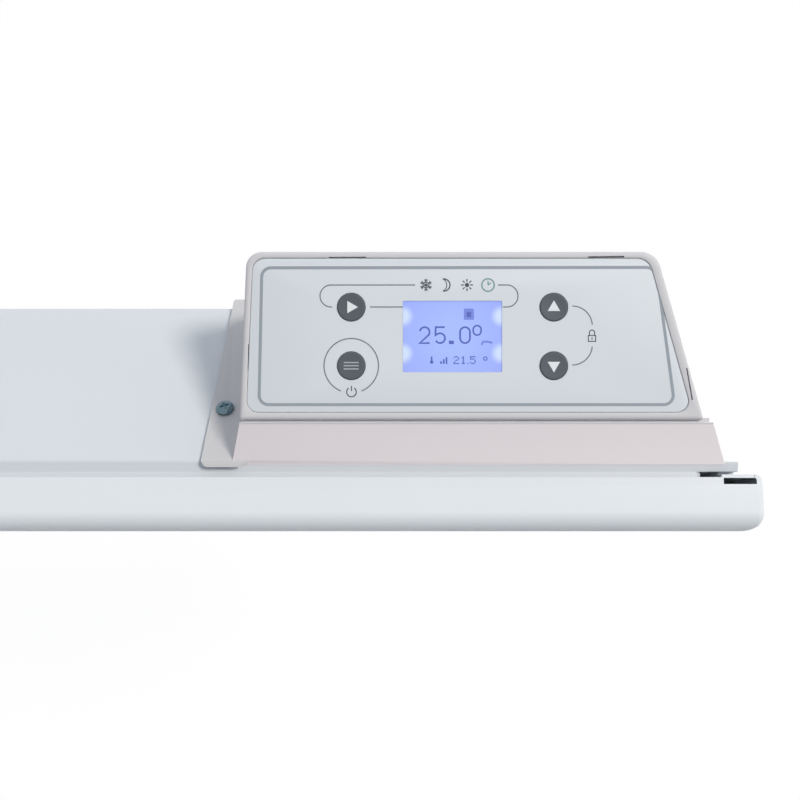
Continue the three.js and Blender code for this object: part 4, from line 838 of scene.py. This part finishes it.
def face_corners(front, back, left, right):
    """The face's four corners, each side drawn in by its inset."""
    corners = []
    for v, order in ((-FACE_FRONT + front, 1), (FACE_BACK - back, -1)):
        share = (v + FACE_FRONT) / (FACE_FRONT + FACE_BACK)
        left_u = -FACE_LEFT + share * LEFT_RAKE + left
        right_u = FACE_RIGHT - share * RIGHT_RAKE - right
        corners += [(left_u, v), (right_u, v)][::order]
    return corners


def face_outline(insets, radii):
    if not isinstance(insets, (list, tuple)):
        insets = (insets,) * 4
    return rounded(face_corners(*insets), radii, 10)


def border(more):
    return [b + more for b in FRAME_BORDER]


def display_frame():
    low, ledge, groove = -9.0, -1.8, -6.7
    levels = [(0, OUTER_RADII, low)]
    levels += [(inset, OUTER_RADII, FRAME_PROUD - drop) for drop, inset in quarter_turn(FRAME_EDGE_R, 6)]
    levels += [
        (border(-0.35), INNER_RADII, FRAME_PROUD),
        (border(-0.1), INNER_RADII, FRAME_PROUD - 0.1),
        (border(0), INNER_RADII, FRAME_PROUD - 0.35),
        (border(0), INNER_RADII, ledge),
        (border(2.2), INNER_RADII, ledge),
        (border(2.2), INNER_RADII, groove),
        (2, 3, groove),
        (2, 3, low),
    ]
    rings = [at_height(face_outline(insets, radii), z) for insets, radii, z in levels]
    obj = lofted("display_frame_shape", rings, closed=True)

    def slivers(bm):
        for start, end, width in JOINT_GAPS:
            a, b = Vector(face_point(*start)), Vector(face_point(*end))
            stroke(bm, [a, (a + b) / 2, b], width, -1.6, 1.0)

    return move(cut(obj, slivers), FACE)


def window_outline(more):
    x, y = WINDOW_U + more, WINDOW_V + more
    return rounded(rectangle(-x, -y, x, y), WINDOW_CORNER_R, 4)


def fascia_plate():
    radii = [r - 0.05 for r in INNER_RADII]
    levels = ((0, -1.5), (0, -0.3), (0.1, -0.08), (0.3, 0))
    rings = [at_height(face_outline(border(PLATE_GAP + inset), radii), z) for inset, z in levels]
    low, high = -3, 1

    def holes(bm):
        for x in (-KEY_U, KEY_U):
            for y in (-KEY_V, KEY_V):
                round_bar(bm, (x, y, low), (x, y, high), KEY_HOLE_R, 48)
        patch(bm, window_outline(WINDOW_GAP), low, high)

    return move(cut(lofted("fascia_plate_shape", rings), holes), FACE)


def lcd_window():
    levels = ((0, -1.5), (0, -0.62), (0.12, -0.5))
    rings = [at_height(window_outline(-inset), z) for inset, z in levels]
    return move(lofted("lcd_window_shape", rings), FACE)


def key_cap(name):
    """A round key with a stem, a collar below the plate and a dished top."""
    stem_r, collar_r, flat_r = 1.8, 6.0, KEY_R - KEY_EDGE_R
    foot, collar_low, collar_high, shoulder, top, dish = -3.45, -2.7, -1.8, -0.1, 0.4, 0.22
    profile = [(AXIS_R, foot), (stem_r, foot), (stem_r, collar_low), (collar_r, collar_low)]
    profile += [(collar_r, collar_high), (KEY_R, collar_high), (KEY_R, shoulder)]
    profile += arc(flat_r, shoulder, KEY_EDGE_R, 0, 90, 6)[1:]
    for r in (4.0, 3.4, 2.6, 1.7, 0.8, AXIS_R):
        profile.append((r, top - dish * (1 - (r / flat_r) ** 2)))
    obj = turned("button_%s_shape" % name, profile)
    return move(obj, FACE @ Matrix.Translation((*KEYS[name], 0)))


stand_in(display_frame(), "frame_plastic", "display_frame", slot="white_plastic")
stand_in(fascia_plate(), "fascia", "fascia_plate")
stand_in(lcd_window(), "screen", "lcd_window")
for key_name in KEYS:
    stand_in(key_cap(key_name), "key_grey", "button_" + key_name, body=key_name + "_key")


# ---------------------------------------------------------------- printed marks
def marks(name, build, low=0.0, high=0.03, place=FACE):
    """A piece of flat marks; build() gets a function for lines and one for filled outlines."""
    bm = bmesh.new()

    def line(points, width, closed=False):
        stroke(bm, points, width, low, high, closed)

    def fill(points):
        patch(bm, points, low, high)

    build(line, fill)
    return move(from_bmesh(name, bm), place)


def ray(x, y, degrees, reach):
    a = math.radians(degrees)
    return (x + math.cos(a) * reach, y + math.sin(a) * reach)


def border_line(line, fill):
    corners = [(-66.7, -23.5), (76.5, -23.5), (70.2, 23.8), (-65.7, 23.65)]
    line(rounded(corners, [3.2, 3.2, 4.2, 3.2], 8), 1.05, True)


# pixels of the outline that joins the play key and the mode symbols, and of its breaks
PILL_LEFT, PILL_RIGHT, PILL_TOP, PILL_BOTTOM = 320, 518, 285, 307
SYMBOLS_BREAK, KEY_BREAK, DISPLAY_BREAK = (415, 498), (332, 370), (403, 503)
# pixels of the two arcs that join the up and down keys to the padlock
LOCK_ARC_X, LOCK_ARCS = 592.3, ((306, 326, 1), (365, 345, -1))


def thin_lines(line, fill):
    width = 0.42
    left, top = face_point(PILL_LEFT, PILL_TOP)
    right, bottom = face_point(PILL_RIGHT, PILL_BOTTOM)
    r, middle = (top - bottom) / 2, (top + bottom) / 2

    def along(px, v):
        return (face_point(px, 0)[0], v)

    bow = arc(left + r, middle, r, 90, 270, 20)
    line([along(SYMBOLS_BREAK[0], top)] + bow + [along(KEY_BREAK[0], bottom)], width)
    line([along(KEY_BREAK[1], bottom), along(DISPLAY_BREAK[0], bottom)], width)
    bow = arc(right - r, middle, r, 90, -90, 20)
    line([along(SYMBOLS_BREAK[1], top)] + bow + [along(DISPLAY_BREAK[1], bottom)], width)
    # ring round the menu key, open below for the power symbol
    line(arc(*KEYS["menu"], 9.4, -68, 248, 48), width)
    for start, end, turn in LOCK_ARCS:
        x, y = face_point(LOCK_ARC_X, end)
        bend = abs(face_point(0, start)[1] - y)
        line(arc(x - bend, y, bend, turn * 90, turn * 4, 12), width)


def frost(line, fill, x, y):
    for i in range(3):
        line([ray(x, y, 60 * i + 30, -2.1), ray(x, y, 60 * i + 30, 2.1)], 0.36)
    for i in range(6):
        fork = ray(x, y, 60 * i + 30, 1.35)
        for turn in (-50, 50):
            line([fork, ray(*fork, 60 * i + 30 + turn, 0.8)], 0.28)
    line(arc(x, y, 1.15, 0, 300, 5), 0.3, True)


def moon(line, fill, x, y):
    line(arc(x - 0.9, y, 2.1, -100, 100, 18), 0.42)
    line(arc(x - 2.2, y, 2.3, -62, 62, 14), 0.3)


def sunshine(line, fill, x, y):
    fill(arc(x, y, 0.75, 0, 345, 23))
    for i in range(8):
        line([ray(x, y, 45 * i, 1.1), ray(x, y, 45 * i, 2.05)], 0.4)


def power(line, fill, x, y):
    line(arc(x, y, 1.65, 125, 415, 24), 0.38)
    line([(x, y + 0.3), (x, y + 2.1)], 0.38)


def padlock(line, fill, x, y):
    line(rectangle(x - 1.25, y - 1.5, x + 1.25, y + 0.5), 0.34, True)
    line([(x - 0.9, y + 0.4)] + arc(x, y + 1.5, 0.9, 180, 0, 10) + [(x + 0.9, y + 0.4)], 0.34)
    line([(x, y - 0.9), (x, y - 0.1)], 0.34)


# each with the pixel of its middle
DARK_SYMBOLS = (
    (frost, (426, 285)),
    (moon, (446.5, 285)),
    (sunshine, (467, 285)),
    (power, (351.5, 392)),
    (padlock, (592, 337)),
)
CLOCK_PIXEL = (488, 285)


def dark_symbols(line, fill):
    for symbol, pixel in DARK_SYMBOLS:
        symbol(line, fill, *face_point(*pixel))


def clock_symbol(line, fill):
    x, y = face_point(*CLOCK_PIXEL)
    line(arc(x, y, 2.15, 0, 350, 35), 0.5, True)
    for hand in ((x, y + 1.45), (x + 0.95, y + 0.75)):
        line([(x, y), hand], 0.42)


extra(marks("border_line", border_line), "print_line")
extra(marks("thin_lines", thin_lines, 0, 0.025), "print_grey")
extra(marks("mode_symbols", dark_symbols), "print_dark")
extra(marks("clock_symbol", clock_symbol), "print_teal")


def three_bars(line, fill):
    for y in (-1.1, 0, 1.1):
        line([(-2.6, y), (2.6, y)], 0.42)


def triangle(degrees):
    def build(line, fill):
        c, s = math.cos(math.radians(degrees)), math.sin(math.radians(degrees))
        fill([(x * c - y * s, x * s + y * c) for x, y in ((-1.35, -2.15), (2.3, 0), (-1.35, 2.15))])

    return build


KEY_SYMBOLS = {
    "play": (triangle(0), "print_light"),
    "menu": (three_bars, "print_soft"),
    "up": (triangle(90), "print_light"),
    "down": (triangle(-90), "print_light"),
}
for key_name, (build, tint) in KEY_SYMBOLS.items():
    place = FACE @ Matrix.Translation((*KEYS[key_name], 0))
    extra(marks("symbol_" + key_name, build, 0.15, 0.27, place), tint, body=key_name + "_key")

# ---------------------------------------------------------------- display content
DIGIT_WIDTH, DIGIT_HEIGHT, DIGIT_LINE = 3.4, 5.5, 0.62
DISPLAY_PIXELS = {
    "tens": (419.8, 343),
    "units": (435.2, 343),
    "point": (449, 344),
    "tenths": (460.2, 343),
    "degree": (473.3, 335),
    "program": (469, 314.4),
    "program_field": (469, 314),
    "tick": (487, 343),
    "thermometer": (431.7, 363.6),
    "bars": (440.2, 363.8),
    "reading": (453.6, 364),
    "reading_degree": (485.5, 358.5),
}
GLYPHS = {
    "1": ("00100", "01100", "00100", "00100", "00100", "00100", "01110"),
    "2": ("01110", "10001", "00001", "00110", "01000", "10000", "11111"),
    "5": ("11111", "10000", "11110", "00001", "00001", "10001", "01110"),
    ".": ("0", "0", "0", "0", "0", "0", "1"),
}


def on_display(name):
    return face_point(*DISPLAY_PIXELS[name])


def dot_text(fill, text, x, y, dot):
    """Digits made of square dots; x, y is the lower left corner."""
    for letter in text:
        rows = GLYPHS[letter]
        for j, row in enumerate(rows):
            for i, filled in enumerate(row):
                if filled == "1":
                    x0, y0, s = x + i * dot, y + (6 - j) * dot, dot * 0.96
                    fill(rectangle(x0, y0, x0 + s, y0 + s))
        x += (len(rows[0]) + 1.2) * dot


def two(x, y, w, h):
    return arc(x + w / 2, y + h - w / 2, w / 2, 170, -35, 12) + [(x, y), (x + w, y)]


def five(x, y, w, h):
    bow = arc(x + w / 2, y + w / 2, w / 2, 115, -150, 14)
    return [(x + w - 0.1, y + h), (x + 0.2, y + h), (x + 0.1, y + h / 2)] + bow


def nought(x, y, w, h):
    r = w / 2
    return arc(x + r, y + h - r, r, 0, 180, 10) + arc(x + r, y + r, r, 180, 360, 10)


def large_digits(line, fill):
    """The set temperature: thin round-cornered figures."""
    for name, figure in (("tens", two), ("units", five)):
        line(figure(*on_display(name), DIGIT_WIDTH, DIGIT_HEIGHT), DIGIT_LINE)
    line(nought(*on_display("tenths"), DIGIT_WIDTH, DIGIT_HEIGHT), DIGIT_LINE, True)
    line(nought(*on_display("degree"), 2.75, 3.3), DIGIT_LINE * 0.9, True)
    x, y = on_display("point")
    fill(rectangle(x, y, x + 1.7, y + 1.2))


def small_symbols(line, fill):
    x, y = on_display("program")
    fill(rectangle(x - 0.75, y - 0.85, x + 0.75, y + 0.85))
    x, y = on_display("thermometer")
    fill(arc(x, y + 0.55, 0.6, 0, 330, 11))
    line([(x, y + 0.9), (x, y + 2.5)], 0.55)
    x, y = on_display("bars")
    for i, height in enumerate((0.9, 1.6, 2.3)):
        fill(rectangle(x + i * 0.95, y, x + i * 0.95 + 0.6, y + height))
    dot_text(fill, "21.5", *on_display("reading"), 0.39)
    line(arc(*on_display("reading_degree"), 0.6, 0, 330, 11), 0.34, True)


def pale_symbols(line, fill):
    """The field behind the program's symbol, one corner cut, and a mark below the degree ring."""
    x, y = on_display("program_field")
    half_u, half_v = 1.75, 1.95
    corners = rectangle(x - half_u, y - half_v, x + half_u, y + half_v)
    corners[2:3] = [(x + half_u, y + 1.6), (x + 1.3, y + half_v)]
    fill(corners)
    x, y = on_display("tick")
    line([(x - 1.9, y - 0.6), (x - 1.2, y + 0.5), (x + 0.2, y + 0.5), (x + 1.9, y + 0.1)], 0.7)


extra(marks("large_digits", large_digits, -0.5, -0.48), "segment")
extra(marks("small_symbols", small_symbols, -0.49, -0.47), "segment")
extra(marks("pale_symbols", pale_symbols, -0.5, -0.485), "segment_pale")


# ---------------------------------------------------------------- screws and rear fittings
SCREW_LENGTH, SHANK_R, HEAD_R, HEAD_RIM, HEAD_DOME = 8.0, 1.6, 3.4, 0.12, 1.73
CROSS_HALF, CROSS_REACH, CROSS_LOW, CROSS_HIGH, CROSS_TAPER = 0.45, 2.0, 0.8, 2.2, 0.6
SCREW_TURN = math.radians(23)


def fine_screw(name):
    """A pan-head screw with a cross recess, its head's seat at height 0."""
    profile = [(AXIS_R, -SCREW_LENGTH), (1.0, -SCREW_LENGTH), (SHANK_R, -SCREW_LENGTH + SHANK_R)]
    profile += [(SHANK_R, 0), (HEAD_R - 0.1, 0), (HEAD_R, HEAD_RIM)]
    for i in range(1, 9):
        a = math.radians(90 * i / 8)
        r = HEAD_R * math.cos(a) ** 0.55 if i < 8 else AXIS_R
        profile.append((r, HEAD_RIM + HEAD_DOME * math.sin(a)))

    def cross(bm):
        arm = [(-CROSS_REACH, -CROSS_HALF), (-CROSS_HALF, -CROSS_HALF), (-CROSS_HALF, -CROSS_REACH)]
        outline = []
        for _ in range(4):
            outline += arm
            arm = [(-y, x) for x, y in arm]
        levels = ((CROSS_LOW, CROSS_TAPER), (CROSS_HIGH, 1.0))
        loft(bm, [[(x * share, y * share, z) for x, y in outline] for z, share in levels])

    return soften(cut(turned(name, profile, 48), cross), 0.08, 2, 40)


def at_node(node, obj, turn):
    """Moves a screw built at the origin to the place of its CAD node."""
    low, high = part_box(node)
    probe = obj.data.copy()
    probe.transform(turn)
    spots = [v.co for v in probe.vertices]
    centre = Vector([(min(c[k] for c in spots) + max(c[k] for c in spots)) / 2 for k in range(3)])
    obj.data.transform(Matrix.Translation((low + high) / 2 - centre) @ turn)
    bpy.data.meshes.remove(probe)
    return obj


ON_RAMP = Matrix.Rotation(-RAMP_ANGLE, 4, "X") @ Matrix.Rotation(SCREW_TURN, 4, "Z")
SCREW_TURNS = {"control_screw_left": ON_RAMP}
for number in (1, 2, 3):
    SCREW_TURNS["casing_screw_%d" % number] = Matrix.Rotation(math.pi, 4, "X")
for name, turn in SCREW_TURNS.items():
    stand_in(at_node(name, fine_screw(name + "_shape"), turn), "screw_steel", name)

for node, finish, width, body in (
    ("wall_bracket", "zinc_steel", 0.3, "heater"),
    ("cord_inlet", "grey_plastic", 0.6, "heater"),
    ("wall_foot_left", "black_rubber", 0.6, "heater"),
    ("wall_foot_right", "black_rubber", 0.6, "heater"),
    ("latch_left", "grey_plastic", 0.4, "latch_turn_left"),
    ("latch_right", "grey_plastic", 0.4, "latch_turn_right"),
    ("inlet_nut", "black_plastic", 0.4, "heater"),
    ("sensor_probe", "black_plastic", 0.25, "heater"),
):
    stand_in(finer_copy(node, width, 2, 35), finish, node, body=body)

# ---------------------------------------------------------------- carried-over nodes
CARRIED = {
    "zinc_steel": (
        "air_deflector partition_plate element_bracket_left element_bracket_right element_pin_left "
        "element_pin_right control_screw_inner board_screw_1 board_screw_2 earth_screw"
    ),
    "bare_aluminium": "heating_element",
    "ceramic": "element_bush_left element_bush_right thermal_cutout",
    "black_plastic": "lcd_module tact_switch_play tact_switch_menu tact_switch_up tact_switch_down relay",
    "grey_plastic": "board_tray terminal_block",
    "circuit_board": "display_board power_board",
    "copper_winding": "transformer",
    "lead_grey": "filter_capacitor sensor_lead ribbon_cable",
    "lead_brown": "live_lead element_lead",
    "lead_blue": "neutral_lead",
    "lead_green": "earth_lead",
}
for finish, members in CARRIED.items():
    for member in members.split():
        dress(nodes[member], finish)


# ---------------------------------------------------------------- floor, light and camera
FLOOR_REACH, FLOOR_Z, FLOOR_THICKNESS = 6000.0, -750.0, 10.0
FLOOR_WHITE, FLOOR_SHARE = 1.02, 0.94
SKY_FRONT, SKY_BACK = (0.15, 0.165, 0.19, 1), (0.80, 0.84, 0.90, 1)
SUN_POWER, SUN_SPREAD, SUN_COLOR = 2.05, math.radians(13), (1.0, 0.95, 0.88)
SUN_HEADING = (-0.53, -0.205, -0.82)
LENS, SENSOR, CAMERA_PLACE = 37.35, 36, (0.1906, -0.10179, 0.49517)


def white_to_camera(tree, lit, white, share):
    """Shows white to the camera and to mirror-like surfaces, and the lit shader to the rest."""
    path = tree.nodes.new("ShaderNodeLightPath")
    seen = path.outputs["Is Camera Ray"]
    for other in ("Is Glossy Ray", "Is Transmission Ray"):
        seen = combine(tree, "MAXIMUM", seen, path.outputs[other])
    mix = tree.nodes.new("ShaderNodeMixShader")
    tree.links.new(combine(tree, "MULTIPLY", seen, share), mix.inputs["Fac"])
    tree.links.new(lit, mix.inputs[1])
    tree.links.new(white, mix.inputs[2])
    return mix.outputs["Shader"]


def floor_material():
    mat, tree, shader = material("floor")
    clouds = spread(tree, noise(tree, coordinates(tree), 6), 0, 1)
    tone = blend(tree, clouds, srgb(212, 213, 215), srgb(218, 219, 220))
    tree.links.new(tone, shader.inputs["Base Color"])
    shader.inputs["Roughness"].default_value = 0.9
    shader.inputs["Specular IOR Level"].default_value = 0.0
    white = tree.nodes.new("ShaderNodeEmission")
    white.inputs["Strength"].default_value = FLOOR_WHITE
    shown = white_to_camera(tree, shader.outputs["BSDF"], white.outputs["Emission"], FLOOR_SHARE)
    out = next(n for n in tree.nodes if n.type == "OUTPUT_MATERIAL")
    tree.links.new(shown, out.inputs["Surface"])
    return mat


floor_mesh = bmesh.new()
floor_outline = rectangle(-FLOOR_REACH, -FLOOR_REACH, FLOOR_REACH, FLOOR_REACH)
patch(floor_mesh, floor_outline, FLOOR_Z - FLOOR_THICKNESS, FLOOR_Z)
floor = from_bmesh("floor", floor_mesh)
floor.data.materials.append(floor_material())


def studio_sky():
    """A little brighter from behind than from the front, and white to the camera."""
    world = bpy.data.worlds.new("studio")
    world.use_nodes = True
    tree = world.node_tree
    tree.nodes.clear()
    compass = tree.nodes.new("ShaderNodeSeparateXYZ")
    tree.links.new(tree.nodes.new("ShaderNodeTexCoord").outputs["Generated"], compass.inputs[0])
    ambient = tree.nodes.new("ShaderNodeBackground")
    sky = blend(tree, spread(tree, compass.outputs["Y"], 0, 1, -1, 1), SKY_FRONT, SKY_BACK)
    tree.links.new(sky, ambient.inputs["Color"])
    white = tree.nodes.new("ShaderNodeBackground")
    for background in (ambient, white):
        background.inputs["Strength"].default_value = 1.0
    shown = white_to_camera(tree, ambient.outputs["Background"], white.outputs["Background"], 1.0)
    out = tree.nodes.new("ShaderNodeOutputWorld")
    tree.links.new(shown, out.inputs["Surface"])
    return world


def key_light():
    data = bpy.data.lights.new("key", "SUN")
    data.energy = SUN_POWER
    data.angle = SUN_SPREAD
    data.color = SUN_COLOR
    light = bpy.data.objects.new("key", data)
    light.rotation_euler = Vector(SUN_HEADING).to_track_quat("-Z", "Y").to_euler()
    return light


def photo_camera():
    data = bpy.data.cameras.new("camera")
    data.sensor_width = SENSOR
    data.lens = LENS
    data.clip_start = 0.01
    view = bpy.data.objects.new("camera", data)
    view.location = CAMERA_PLACE
    view.rotation_euler = (TILT, 0, 0)
    return view


scene = bpy.context.scene
scene.world = studio_sky()
scene.collection.objects.link(key_light())
scene.camera = photo_camera()
scene.collection.objects.link(scene.camera)
scene.view_settings.view_transform = "Standard"
